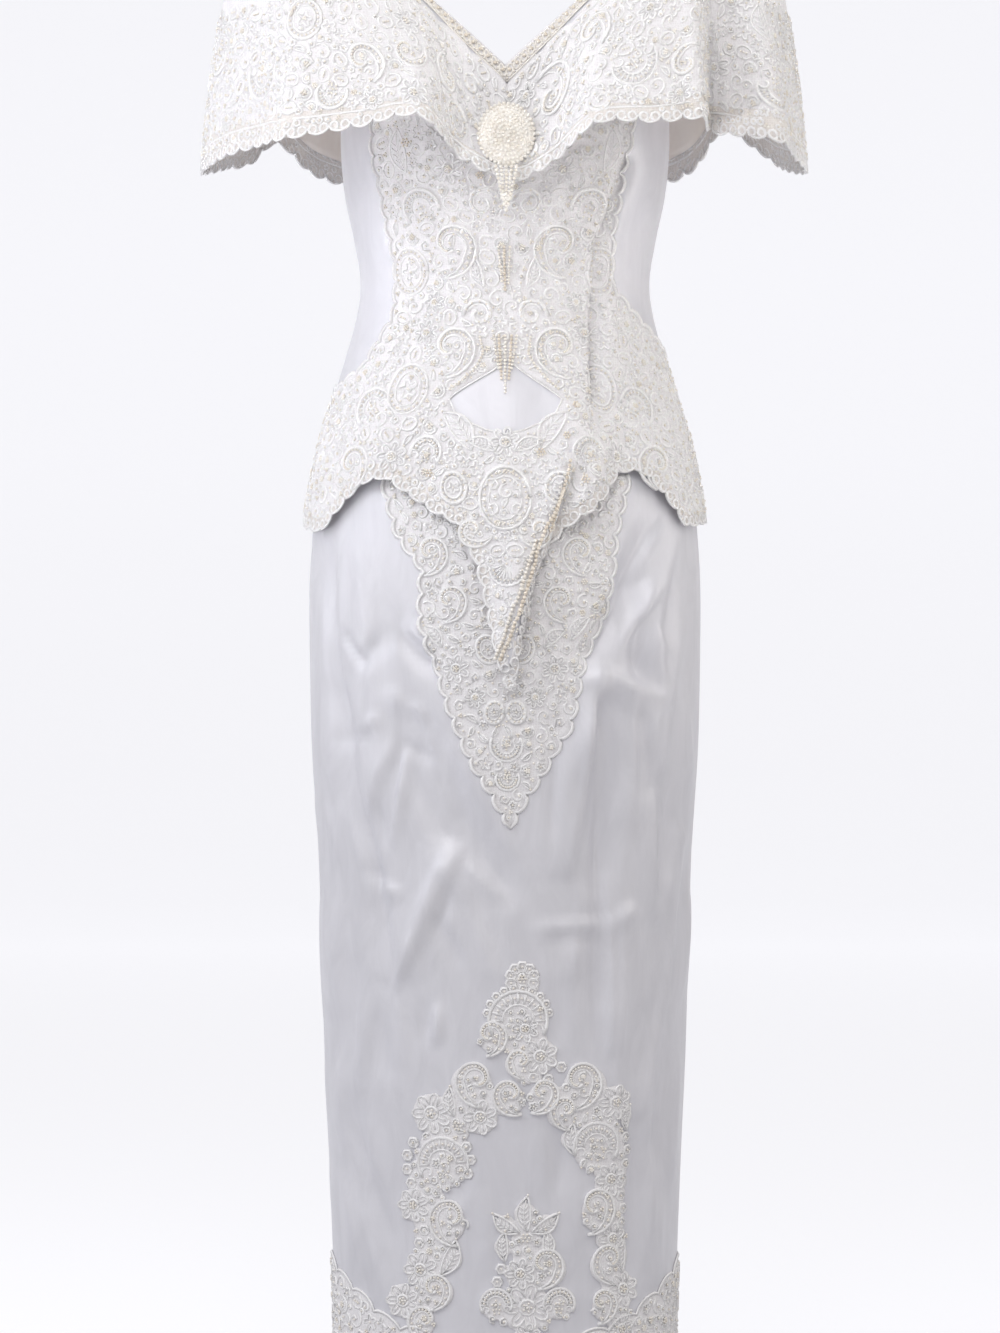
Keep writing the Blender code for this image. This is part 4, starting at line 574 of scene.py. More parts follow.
class BodySurface(Surface):
    """A round of the body: elliptical sections with creases."""

    foot = 1.6
    crispness = 1.12

    def __init__(self, sections: Sequence[tuple], creases: dict[Side, Sequence[tuple]]) -> None:
        """Keep the sections and the creases, in metres.

        Args:
            sections: Level rounds from top to bottom.
            creases: Ridges and troughs of each side.
        """
        z, self.half_width, self.front, self.back = columns(sections)
        self.depth = -z
        self.creases = []
        for side, rows in creases.items():
            for row in rows:
                ends = [value / 1000 for value in row[:4]]
                sizes = [value / 10000 for value in row[4:7]]
                self.creases.append(Crease(side, *ends, *sizes, *row[7:]))

    def turn_at(self, x: Array, z: Array) -> Array:
        """Return the turns on the front half at which the surface has these x."""
        return np.degrees(np.arcsin(np.clip(x / smooth(-z, self.depth, self.half_width), -1, 1)))

    def rise(self, x: Array, y: Array, z: Array) -> Array:
        """Return how far the creases lift the cloth."""
        total = np.zeros(np.shape(x))
        for crease in self.creases:
            run_x = crease.x_bottom - crease.x_top
            run_z = crease.z_bottom - crease.z_top
            length = math.hypot(run_x, run_z)
            free = ((x - crease.x_top) * run_x + (z - crease.z_top) * run_z) / length**2
            part = np.clip(free, 0, 1)
            side = ((z - crease.z_top) * run_x - (x - crease.x_top) * run_z) / length
            side = side - crease.bow * 4 * part * (1 - part)
            width = np.where(side > 0, crease.width, crease.width * crease.lean)
            away = np.hypot(side / width, (free - part) * length / crease.width)
            shape = np.clip(1 - away / self.foot, 0, 1) ** self.crispness
            strength = 1 - crease.taper * (1 - np.sin(np.pi * part) ** 0.7)
            here = (y > 0) == (crease.side is Side.BACK)
            total += np.where(here, crease.rise * strength * shape, 0.0)
        return total

    def point(self, turn: Array, level: Array) -> Array:
        """Return the points of the satin's outer face."""
        angle = np.radians(turn)
        x = smooth(-level, self.depth, self.half_width) * np.sin(angle)
        front = smooth(-level, self.depth, self.front)
        back = smooth(-level, self.depth, self.back)
        y = -np.where(np.cos(angle) > 0, front, back) * np.cos(angle)
        flat = np.hypot(x, y)
        lift = self.rise(x, y, level)
        return np.stack([x + x / flat * lift, y + y / flat * lift, level + 0 * x], axis=-1)


class BodiceSurface(BodySurface):
    """The fitted bodice and basque, with the cups of its cut."""

    cup_rise = 0.014
    cup_x = 0.075
    cup_z = -0.190
    cup_size = 0.045
    neck_front_drop = 0.1745
    neck_front_curve = 0.8
    neck_back_drop = 0.165
    arm_front = 47.0            # turns between which the top edge dips under the arm
    arm_back = 136.0
    arm_z = -0.180
    neck_turn = 0.002           # the satin ends this far below the neckline
    hem_inset = 0.0085          # and this far inside the lace's hem

    def point(self, turn: Array, level: Array) -> Array:
        """Return the points of the satin's outer face."""
        spots = super().point(turn, level)
        away = np.hypot(np.abs(spots[..., 0]) - self.cup_x, level - self.cup_z) / self.cup_size
        front = np.abs(turn) < 90
        spots[..., 1] -= np.where(front, self.cup_rise * np.exp(-away * away), 0.0)
        return spots

    def neck(self, turn: Array) -> Array:
        """Return the height of the neckline."""
        rise = 1.0 - np.abs(np.sin(np.radians(turn)))
        front = self.neck_front_drop * rise**self.neck_front_curve
        return -np.where(np.abs(turn) <= 90, front, self.neck_back_drop * rise)

    def top(self, turn: Array) -> Array:
        """Return the bodice's top edge: the neckline, dipping under the arms."""
        side = np.abs(turn)
        start = np.where(side < 90, self.arm_front, self.arm_back)
        high = self.neck(start) - self.neck_turn
        f = np.clip((side - start) / (90.0 - start), 0, 1)
        under_arm = high + (self.arm_z - high) * np.sin(f * np.pi / 2) ** 0.8
        plain = (side < self.arm_front) | (side > self.arm_back)
        return np.where(plain, self.neck(turn) - self.neck_turn, under_arm)

    def basque_hem(self, turn: Array) -> Array:
        """Return the height of the basque's lace hem."""
        return along(turn, BASQUE_HEM)

    def basque_satin(self, turn: Array) -> Array:
        """Return the height of the basque's satin edge, inside the lace's hem."""
        return self.basque_hem(turn) + self.hem_inset

    def peplum_top(self, turn: Array) -> Array:
        """Return the upper edge of the lace over the hips at the back."""
        side = np.where(turn > 0, LACE_EDGE_LEFT[-1][1], LACE_EDGE_RIGHT[-1][1])
        f = np.clip((np.abs(turn) - 90) / 40, 0, 1)
        return side + (LACE_EDGE_BACK_Z - side) * f


class SkirtSurface(BodySurface):
    """The straight skirt, whose top is tucked inside the bodice's waist."""

    tuck = 0.045
    tuck_depth = 0.0024

    def __init__(self, bodice: BodiceSurface) -> None:
        """Keep the bodice that the skirt is sewn into."""
        super().__init__(SKIRT_SECTIONS, SKIRT_CREASES)
        self.bodice = bodice

    def point(self, turn: Array, level: Array) -> Array:
        """Return the points of the satin's outer face."""
        spots = super().point(turn, level)
        level = level + 0 * turn
        share = np.clip((level - (WAIST_Z - self.tuck)) / self.tuck, 0, 1) ** 2
        high = share > 0
        if high.any():
            wide = turn + 0 * level
            spot = self.bodice.point(wide[high], level[high])
            flat = spot * [1, 1, 0]
            spot = spot - flat / np.linalg.norm(flat, axis=-1, keepdims=True) * self.tuck_depth
            spots[high] += (spot - spots[high]) * share[high][:, None]
        return spots


class Raised(Surface):
    """Another surface, moved outwards."""

    def __init__(self, base: Surface, height: float) -> None:
        """Keep the surface and how far it is moved."""
        self.base = base
        self.height = height

    def point(self, turn: Array, level: Array) -> Array:
        """Return the moved points."""
        return self.base.lift(turn, level, self.height)


class CollarSurface(Surface):
    """The cape collar, from the neckline over the shoulders to its hem."""

    down = 1.0
    level_step = 0.01
    neck_ease = 0.0023

    def __init__(self, bodice: BodiceSurface) -> None:
        """Measure the neckline that the collar hangs from."""
        self.turns = np.arange(-185.0, 185.1, 0.5)
        wrapped = self.wrap(self.turns)
        neck_z = bodice.neck(wrapped)
        self.neck_line = bodice.lift(wrapped, neck_z, self.neck_ease)
        self.stations = columns(COLLAR_STATIONS)
        self.waves = columns(COLLAR_WAVES)

    @staticmethod
    def wrap(turn: Array) -> Array:
        """Bring turns into the range from -180 to 180."""
        return (turn + 180) % 360 - 180

    def point(self, turn: Array, level: Array) -> Array:
        """Return the points of the satin's outer face."""
        turn = turn + 0 * level
        level = level + 0 * turn
        wrapped = self.wrap(turn)
        marks = self.stations[0]
        hem = np.stack([smooth(wrapped, marks, row) for row in self.stations[1:4]], axis=-1)
        roundness = smooth(wrapped, marks, self.stations[4])[..., None]
        neck = np.stack([np.interp(wrapped, self.turns, row) for row in self.neck_line.T], axis=-1)
        # A curve from neck to hem; its two handles lie further out where the cloth falls round
        out = (hem - neck) * [1, 1, 0]
        drop = (neck - hem) * [0, 0, 1]
        shoulder = neck + out * (0.55 + 0.14 * roundness) - drop * (0.30 - 0.32 * roundness)
        fall = hem - out * (0.25 - 0.135 * roundness) + drop * (0.30 + 0.14 * roundness)
        reach = level[..., None]
        rest = 1 - reach
        spots = neck * rest**3 + shoulder * 3 * rest**2 * reach
        spots = spots + fall * 3 * rest * reach**2 + hem * reach**3
        turns, widths, rises = self.waves
        lift = (rises * np.exp(-(((wrapped[..., None] - turns) / widths) ** 2))).sum(axis=-1)
        away = out / np.linalg.norm(out, axis=-1, keepdims=True)
        return spots + away * (lift * np.maximum(level, 0.0) ** 1.5)[..., None]


# --- finishes ---


def add_node(
    tree: Tree, kind: str, values: dict | None = None, links: dict | None = None, **settings: object
) -> bpy.types.Node:
    """Add a node with its settings and its links.

    Args:
        tree: The node tree to add to.
        kind: The node's type.
        values: Socket values by name or index.
        links: Sources by the socket that they feed.
        settings: The node's own settings.

    Returns:
        The node.
    """
    node = tree.nodes.new(kind)
    for name, value in settings.items():
        setattr(node, name, value)
    for socket, value in (values or {}).items():
        node.inputs[socket].default_value = value
    for socket, source in (links or {}).items():
        tree.links.new(source, node.inputs[socket])
    return node


def new_material(name: str) -> tuple[Material, Tree]:
    """Return an empty material and its node tree."""
    material = bpy.data.materials.new(name)
    material.use_nodes = True
    material.node_tree.nodes.clear()
    return material, material.node_tree


def ramp(tree: Tree, factor: Socket, stops: Sequence[tuple[float, str]]) -> Socket:
    """Return the colour socket of a ramp through hex colours."""
    node = add_node(tree, "ShaderNodeValToRGB", links={"Fac": factor})
    line = node.color_ramp.elements
    while len(line) < len(stops):
        line.new(0.5)
    for mark, (place, code) in zip(line, stops):
        mark.position = place
        mark.color = colour(code)
    return node.outputs["Color"]


def close_tree(tree: Tree, values: dict, **sources: Socket) -> None:
    """Finish a material with its shader and output; the sources are named with underscores."""
    links = {name.replace("_", " "): source for name, source in sources.items()}
    shader = add_node(tree, "ShaderNodeBsdfPrincipled", values, links)
    add_node(tree, "ShaderNodeOutputMaterial", links={"Surface": shader.outputs["BSDF"]})


@dataclass(frozen=True)
class SatinFinish:
    """Woven bridal satin: long floats on its face make broad soft highlights."""

    name: str
    face: str
    tone: str
    roughness: float
    sheen: float
    lustre: float
    thread: float = 0.0011      # drawn about four times as coarse as the real floats
    cockle: float = 0.022       # width of the faint upright unevenness of hung cloth

    def material(self) -> Material:
        """Return the material."""
        material, tree = new_material(self.name)
        place = add_node(tree, "ShaderNodeTexCoord")
        values = {"Scale": 0.314 / self.thread, "Distortion": 0.6, "Detail": 1.0, "Detail Scale": 3.0}
        links = {"Vector": place.outputs["UV"]}
        weave = add_node(tree, "ShaderNodeTexWave", values, links, bands_direction="X")
        links = {"Vector": place.outputs["Object"]}
        drawn = add_node(tree, "ShaderNodeMapping", {"Scale": (1.0, 1.0, 0.35)}, links)
        links = {"Vector": drawn.outputs["Vector"]}
        values = {"Scale": 1 / self.cockle, "Detail": 4.0, "Roughness": 0.6, "Distortion": 0.8}
        uneven = add_node(tree, "ShaderNodeTexNoise", values, links)
        values = {"Scale": 0.55 / self.cockle, "Detail": 2.0, "Roughness": 0.5, "Distortion": 0.9}
        crumple = add_node(tree, "ShaderNodeTexNoise", values, links, noise_type="RIDGED_MULTIFRACTAL")
        normal = None
        for pattern, strength, distance in (
            (weave, 0.05, 0.0003), (crumple, 0.8, 0.0022), (uneven, 0.30, 0.0012)
        ):
            links = {"Height": pattern.outputs["Fac"]}
            if normal:
                links["Normal"] = normal
            bump = add_node(tree, "ShaderNodeBump", {"Strength": strength, "Distance": distance}, links)
            normal = bump.outputs["Normal"]
        base = ramp(tree, uneven.outputs["Fac"], [(0.35, self.face), (0.65, self.tone)])
        values = {
            "Roughness": self.roughness, "Sheen Weight": self.sheen, "Sheen Roughness": 0.35,
            "Specular IOR Level": 0.50, "Metallic": self.lustre,
        }
        close_tree(tree, values, Base_Color=base, Normal=normal)
        return material


@dataclass(frozen=True)
class PatternFinish:
    """A finish whose colour and relief follow one fine pattern."""

    name: str
    low: str
    high: str

    kind: ClassVar[str] = "ShaderNodeTexNoise"
    height: ClassVar[str] = "Fac"
    settings: ClassVar[dict] = {}
    invert: ClassVar[bool] = False
    pattern: ClassVar[dict]
    stops: ClassVar[tuple[float, float]]
    relief: ClassVar[dict]
    shader: ClassVar[dict]

    def material(self) -> Material:
        """Return the material."""
        material, tree = new_material(self.name)
        links = {"Vector": add_node(tree, "ShaderNodeTexCoord").outputs["Object"]}
        pattern = add_node(tree, self.kind, self.pattern, links, **self.settings).outputs[self.height]
        base = ramp(tree, pattern, list(zip(self.stops, (self.low, self.high))))
        bump = add_node(tree, "ShaderNodeBump", self.relief, {"Height": pattern}, invert=self.invert)
        close_tree(tree, self.shader, Base_Color=base, Normal=bump.outputs["Normal"])
        return material


class NetFinish(PatternFinish):
    """Fine knitted net: small six-sided meshes over the satin, matte."""

    kind = "ShaderNodeTexVoronoi"
    height = "Distance"
    settings = {"feature": "DISTANCE_TO_EDGE"}
    invert = True
    mesh_size = 0.0022          # drawn a little larger than the real 1.5 mm
    pattern = {"Scale": 1 / mesh_size, "Randomness": 0.55}
    stops = (0.04, 0.20)
    relief = {"Strength": 0.20, "Distance": 0.0004}
    shader = {"Roughness": 0.75, "Sheen Weight": 0.2, "Specular IOR Level": 0.3}


class ThreadFinish(PatternFinish):
    """Twisted rayon cord: a soft lustre broken by its plies."""

    ply = 0.0016
    pattern = {"Scale": 1 / ply, "Detail": 1.0, "Roughness": 0.6}
    stops = (0.38, 0.58)
    relief = {"Strength": 0.35, "Distance": 0.0004}
    shader = {"Roughness": 0.55, "Sheen Weight": 0.25, "Specular IOR Level": 0.4}


class PearlFinish(PatternFinish):
    """Pearl-coated plastic bead: a hard bright gloss over a milky body."""

    pattern = {"Scale": 240.0, "Detail": 0.0}
    stops = (0.36, 0.62)
    relief = {"Strength": 0.05, "Distance": 0.0002}
    shader = {"Roughness": 0.28, "Coat Weight": 0.5, "Coat Roughness": 0.12}


@dataclass
class Finishes:
    """All the materials of the dress."""

    satin: Material
    satin_reverse_with_painted_light: Material
    net: Material
    painted_shade_net: Material
    cord: Material
    silk: Material
    pearl: Material
    champagne: Material

    @classmethod
    def make(cls) -> "Finishes":
        """Make each material once."""
        finishes = (
            SatinFinish("bridal_satin_face", "#E1E1E7", "#DADAE0", 0.46, 0.12, 0.18),
            # The reverse's warm, dull tone is its own, but it is painted lighter: painted light for the
            # collar's shaded underside.
            SatinFinish("bridal_satin_reverse", "#F8F2EC", "#F2EAE3", 0.62, 0.15, 0.0),
            NetFinish("lace_net", "#F0EFF1", "#E6E4E6"),
            # Painted shade: where no satin lies beneath, the net is darker and beige, for the shade seen
            # through its meshes.
            NetFinish("lace_net_painted_shade_without_satin_beneath", "#EAE6E3", "#DDD8D4"),
            ThreadFinish("rayon_lace_cord", "#F3F2F2", "#FDFDFE"),
            ThreadFinish("cream_silk_thread", "#F1ECE4", "#FAF7F2"),
            PearlFinish("ivory_pearl_bead", "#F0EAE0", "#FAF7F1"),
            PearlFinish("champagne_glass_bead", "#E6DBCB", "#F2EADD"),
        )
        return cls(*(finish.material() for finish in finishes))


# --- cloth ---


@dataclass(frozen=True)
class Cut:
    """The flat cut of a sheet, how it is held and what it rests on."""

    width: float
    length: float
    area: float
    held: str
    rests_on: tuple[str, ...] = ()

    def declare(self, item: Item, pieces: Sequence[Item] = ()) -> None:
        """Take a sheet and the pieces that are sewn on it; nothing is done with them."""


def tag(item: Item, node: str | None = None) -> None:
    """Let a piece ride on the body, and hide the node that it replaces."""
    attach(item, BODY)
    if node:
        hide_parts(node)


def set_positions(mesh: Mesh, spots: Array) -> None:
    """Move all the vertices of a mesh."""
    mesh.vertices.foreach_set("co", np.ascontiguousarray(spots, np.float32).ravel())
    mesh.update()


def flat_positions(mesh: Mesh) -> Array:
    """Return the vertices of a mesh as rows of x, y and z."""
    spots = np.empty(len(mesh.vertices) * 3, np.float32)
    mesh.vertices.foreach_get("co", spots)
    return spots.reshape(-1, 3).astype(float)


def write_uv(mesh: Mesh, u: Array, v: Array) -> None:
    """Give a mesh a UV map in metres of cloth."""
    layer = mesh.uv_layers.new(name="cloth")
    index = np.empty(len(mesh.loops), np.int32)
    mesh.loops.foreach_get("vertex_index", index)
    layer.data.foreach_set("uv", np.stack([u[index], v[index]], axis=-1).astype(np.float32).ravel())


def smooth_mesh(mesh: Mesh) -> None:
    """Shade a mesh smooth."""
    mesh.polygons.foreach_set("use_smooth", np.ones(len(mesh.polygons), bool))


def wall(item: Item, thickness: float, side: float) -> None:
    """Give a sheet its thickness; the reverse takes the second material where there is one."""
    shell = item.modifiers.new("thickness", "SOLIDIFY")
    shell.thickness = thickness
    shell.offset = side
    shell.use_even_offset = False
    shell.material_offset = len(item.data.materials) - 1


def grid_mesh(across: int, down: int) -> tuple[Mesh, Array, Array]:
    """Return a grid mesh, with the column and the row of each vertex (rows run downwards)."""
    work = bmesh.new()
    bmesh.ops.create_grid(work, x_segments=across, y_segments=down, size=0.5)
    mesh = to_mesh(work, "grid")
    spots = flat_positions(mesh)
    column = np.rint((spots[:, 0] + 0.5) * across).astype(int)
    row = np.rint((0.5 - spots[:, 1]) * down).astype(int)
    return mesh, column, row


@dataclass(frozen=True)
class Panel:
    """A satin panel between two seams."""

    name: str
    first: float
    last: float
    cut: Cut


@dataclass
class SatinWork:
    """Cuts and lays the satin panels of one surface."""

    surface: Surface
    finishes: Finishes
    column_step: float
    row_step: float
    seam_width: float = 0.0030
    seam_roll: float = 0.0012
    metres_per_degree: float = 0.0027
    seam_columns = (0.06, 0.5, 1.1, 1.9)
    plain_from = 2.8            # degrees from a seam to the even columns

    def turns(self, panel: Panel) -> Array:
        """Return the panel's columns, closer together beside its seams."""
        near = np.array(self.seam_columns)
        first, last = panel.first + self.plain_from, panel.last - self.plain_from
        count = max(2, round((panel.last - panel.first - 2 * self.plain_from) / self.column_step))
        inner = np.linspace(first, last, count + 1)
        return np.concatenate([panel.first + near, inner, (panel.last - near)[::-1]])

    def lay(self, panel: Panel, top: Edge, bottom: Edge) -> None:
        """Lay a panel on the surface between its top and bottom edges.

        Args:
            panel: The panel.
            top: The top edge, by turn.
            bottom: The bottom edge, by turn.
        """
        turns = self.turns(panel)
        high = top(turns)
        low = bottom(turns)
        rows = max(4, math.ceil(float(np.max(np.abs(high - low))) / self.row_step))
        mesh, column, row = grid_mesh(len(turns) - 1, rows)
        turn = turns[column]
        level = high[column] + (low[column] - high[column]) * row / rows
        seam = np.minimum(turn - panel.first, panel.last - turn) * self.metres_per_degree
        height = -self.seam_roll * np.exp(-((seam / self.seam_width) ** 2))
        set_positions(mesh, self.surface.lift(turn, level, height))
        per_level = float(self.surface.metres(turn, level)[1].mean())
        write_uv(mesh, turn * self.metres_per_degree, level * per_level)
        smooth_mesh(mesh)
        item = make_object(panel.name + "_satin", mesh)
        mesh.materials.append(self.finishes.satin)
        # The reverse is painted lighter than its own tone: painted light on the shaded underside of the
        # collar.
        mesh.materials.append(self.finishes.satin_reverse_with_painted_light)
        wall(item, SATIN_THICKNESS, -1.0)
        tag(item, panel.name)
        panel.cut.declare(item)
        LOG.info("%s laid", item.name)


# --- lace ---


def loop(radius_x: float, radius_y: float, count: int, centre: complex = 0j) -> Array:
    """Return a closed ellipse as complex points, its first point repeated."""
    t = np.linspace(0, 2 * np.pi, count + 1)
    return centre + radius_x * np.cos(t) + 1j * radius_y * np.sin(t)


def arc(first: float, last: float, count: int, radius: float = 1.0, end: float | None = None) -> Array:
    """Return an arc between two shares of a full turn; its radius may run to another at its end."""
    t = np.linspace(0, 1, count)
    reach = radius + ((radius if end is None else end) - radius) * t
    return reach * ray(first + (last - first) * t)


class MotifBook:
    """The shapes of the motifs, one unit in radius, as strokes of cord and spots for beads."""

    large = 0.0095
    plain_frame = 0.026

    def draw(self, kind: Stitch, size: float) -> Drawing:
        """Return a motif's strokes, with their cords' radii, and its beads.

        Args:
            kind: The motif.
            size: Its real radius, which sets how many points its curves need.

        Returns:
            The strokes, and the beads as complex points.
        """
        return getattr(self, kind.value)(float(np.clip(size / 0.013, 0.5, 1.0)), size)

    def scroll(self, detail: float, size: float) -> Drawing:
        """A C-scroll: a beaded band that narrows into a curl, its tail swept back."""

        def sweep(t: Array, inset: float = 0.0) -> Array:
            """Return the scroll's outer line, or one inside it."""
            line = (0.26 + 1.19 * (1 - t) ** 1.3) * ray(1.14 * t - 0.29)
            return 0.86 * (line * (1 - inset * np.minimum(1, t / 0.16)) - 0.28 + 0.31j)

        strokes = [(sweep(np.linspace(0, 1, int(25 * detail))), HEAVY if size > self.large else MEDIUM)]
        beads = sweep(np.linspace(0.5, 1.0, 2), 0.9)
        if size > self.large:
            strokes.append((sweep(np.linspace(0.02, 0.88, int(20 * detail)), 0.38), MEDIUM))
            row = sweep(np.linspace(0.10, 0.84, round(1000 * size)), 0.20)
            beads = np.concatenate([row, beads])
        return strokes, beads

    def shell(self, detail: float, size: float) -> Drawing:
        """A ribbed shell: two arcs with ribs, curled at both ends, round a small flower."""
        large = size > self.large
        strokes = [
            (0.92 * arc(-0.08, 0.58, int(15 * detail)), HEAVY if large else MEDIUM),
            (arc(-0.02, 0.52, int(11 * detail), 0.50), MEDIUM),
        ]
        marks = np.linspace(0.0, 0.50, 11 if large else 5)
        for at in marks:
            strokes.append((ray(at) * np.array([0.54, 0.84]), MEDIUM if large else FINE))
        for end, way in ((-0.08, 1), (0.58, -1)):
            curl = arc(end, end + 0.8 * way, int(7 * detail) + 2, 0.28, 0.08)
            strokes.append((0.92 * ray(end) - curl[0] + curl, MEDIUM))
        beads = np.array([0, 0.22, -0.22, 0.24j, -0.26j, 0.18 - 0.30j, -0.18 - 0.30j])
        if large:
            between = (marks[1:] + marks[:-1]) / 2
            beads = np.concatenate([beads, 0.70 * ray(between), [0.13 - 0.5j, -0.13 - 0.5j]])
        return strokes, beads

    def rosette(self, detail: float, size: float) -> Drawing:
        """A flower with round petals and a beaded middle."""
        large = size > self.large
        petals = 7 if large else 5
        t = np.linspace(0, 1, (6 if large else 3) * petals + 1)
        edge = (0.46 + 0.50 * np.abs(np.sin(np.pi * petals * t)) ** 0.7) * ray(t)
        strokes = [(edge, MEDIUM)]
        if not large:
            return strokes, np.array([0j])
        strokes.append((loop(0.32, 0.32, 9), MEDIUM))
        for k in range(petals):
            strokes.append((np.exp(2j * np.pi * (k + 0.5) / petals) * np.array([0.40, 0.78]), FINE))
        return strokes, np.concatenate([[0j], 0.17 * np.exp(2j * np.pi * np.arange(5) / 5)])

    def leaf(self, detail: float, size: float) -> Drawing:
        """A curved, pointed leaf with its veins."""
        t = np.linspace(0, 1, int(8 * detail) + 2)
        side = 0.40 * np.sin(np.pi * t) ** 0.8
        stem = 1j * (2 * t - 1) + 0.22 * (2 * t - 1) ** 2 - 0.1
        strokes = [(stem + side, MEDIUM), (stem - side, MEDIUM), (stem[:-1:2], FINE)]
        if size > self.large:
            for at in (-0.62, -0.34, -0.06, 0.22):
                for way in (-1, 1):
                    root = 1j * at + 0.22 * at * at - 0.1
                    strokes.append((np.array([root, root + way * 0.25 + 0.26j]), FINE))
        return strokes, np.array([0.14 + 1.08j])

    def oval(self, detail: float, size: float) -> Drawing:
        """An oval frame of two cords with beads between, round a flower."""
        large = size > self.large
        strokes = [(loop(0.80, 1.0, int(19 * detail)), HEAVY if large else MEDIUM)]
        if not large:
            return strokes, np.array([0.34j, 0j, -0.34j])
        strokes.append((loop(0.52, 0.70, int(15 * detail)), MEDIUM))
        beads = loop(0.66, 0.85, round(1100 * size))[:-1]
        if size < self.plain_frame:
            flower, _ = self.rosette(detail, size / 3)
            strokes += [(line * 0.42, gauge) for line, gauge in flower]
            beads = np.concatenate([beads, [0j]])
        return strokes, beads

    def fan(self, detail: float, size: float) -> Drawing:
        """A fan of padded ribs with a looped edge."""
        ribs = 11 if size > self.large else 5
        spread = np.linspace(-0.21, 0.21, ribs) + 0.25
        strokes = [(ray(at) * np.array([0.14, 0.92]), MEDIUM) for at in spread]
        t = np.linspace(0, 1, 3 * ribs)
        edge = ray(0.03 + 0.44 * t) * (0.94 + 0.10 * np.abs(np.sin(np.pi * ribs * t)))
        strokes.append((edge, MEDIUM))
        between = (spread[1:] + spread[:-1]) / 2
        return strokes, np.concatenate([ray(between) * 0.78, [0j]])

    def curl(self, detail: float, size: float) -> Drawing:
        """A single curl; a large one is a band of two cords."""
        large = size > self.large
        strokes = [(arc(-0.05, 1.15, int(14 * detail), 0.96, 0.22), HEAVY if large else MEDIUM)]
        if not large:
            return strokes, np.array([0.04 + 0j])
        strokes.append((arc(0.0, 0.85, int(13 * detail), 0.66, 0.30), MEDIUM))
        return strokes, np.append(arc(0.02, 0.72, round(500 * size), 0.80, 0.48), 0.04)

    def ring(self, detail: float, size: float) -> Drawing:
        """A ring round a bead."""
        return [(loop(0.86, 0.86, 6), MEDIUM)], np.array([0j])

    def knot(self, detail: float, size: float) -> Drawing:
        """A cluster of beads without a cord."""
        if size < 0.0027:
            return [], 0.58 * np.exp(2j * np.pi * np.arange(3) / 3)
        return [], np.append(0.72 * np.exp(2j * np.pi * np.arange(6) / 6), 0)

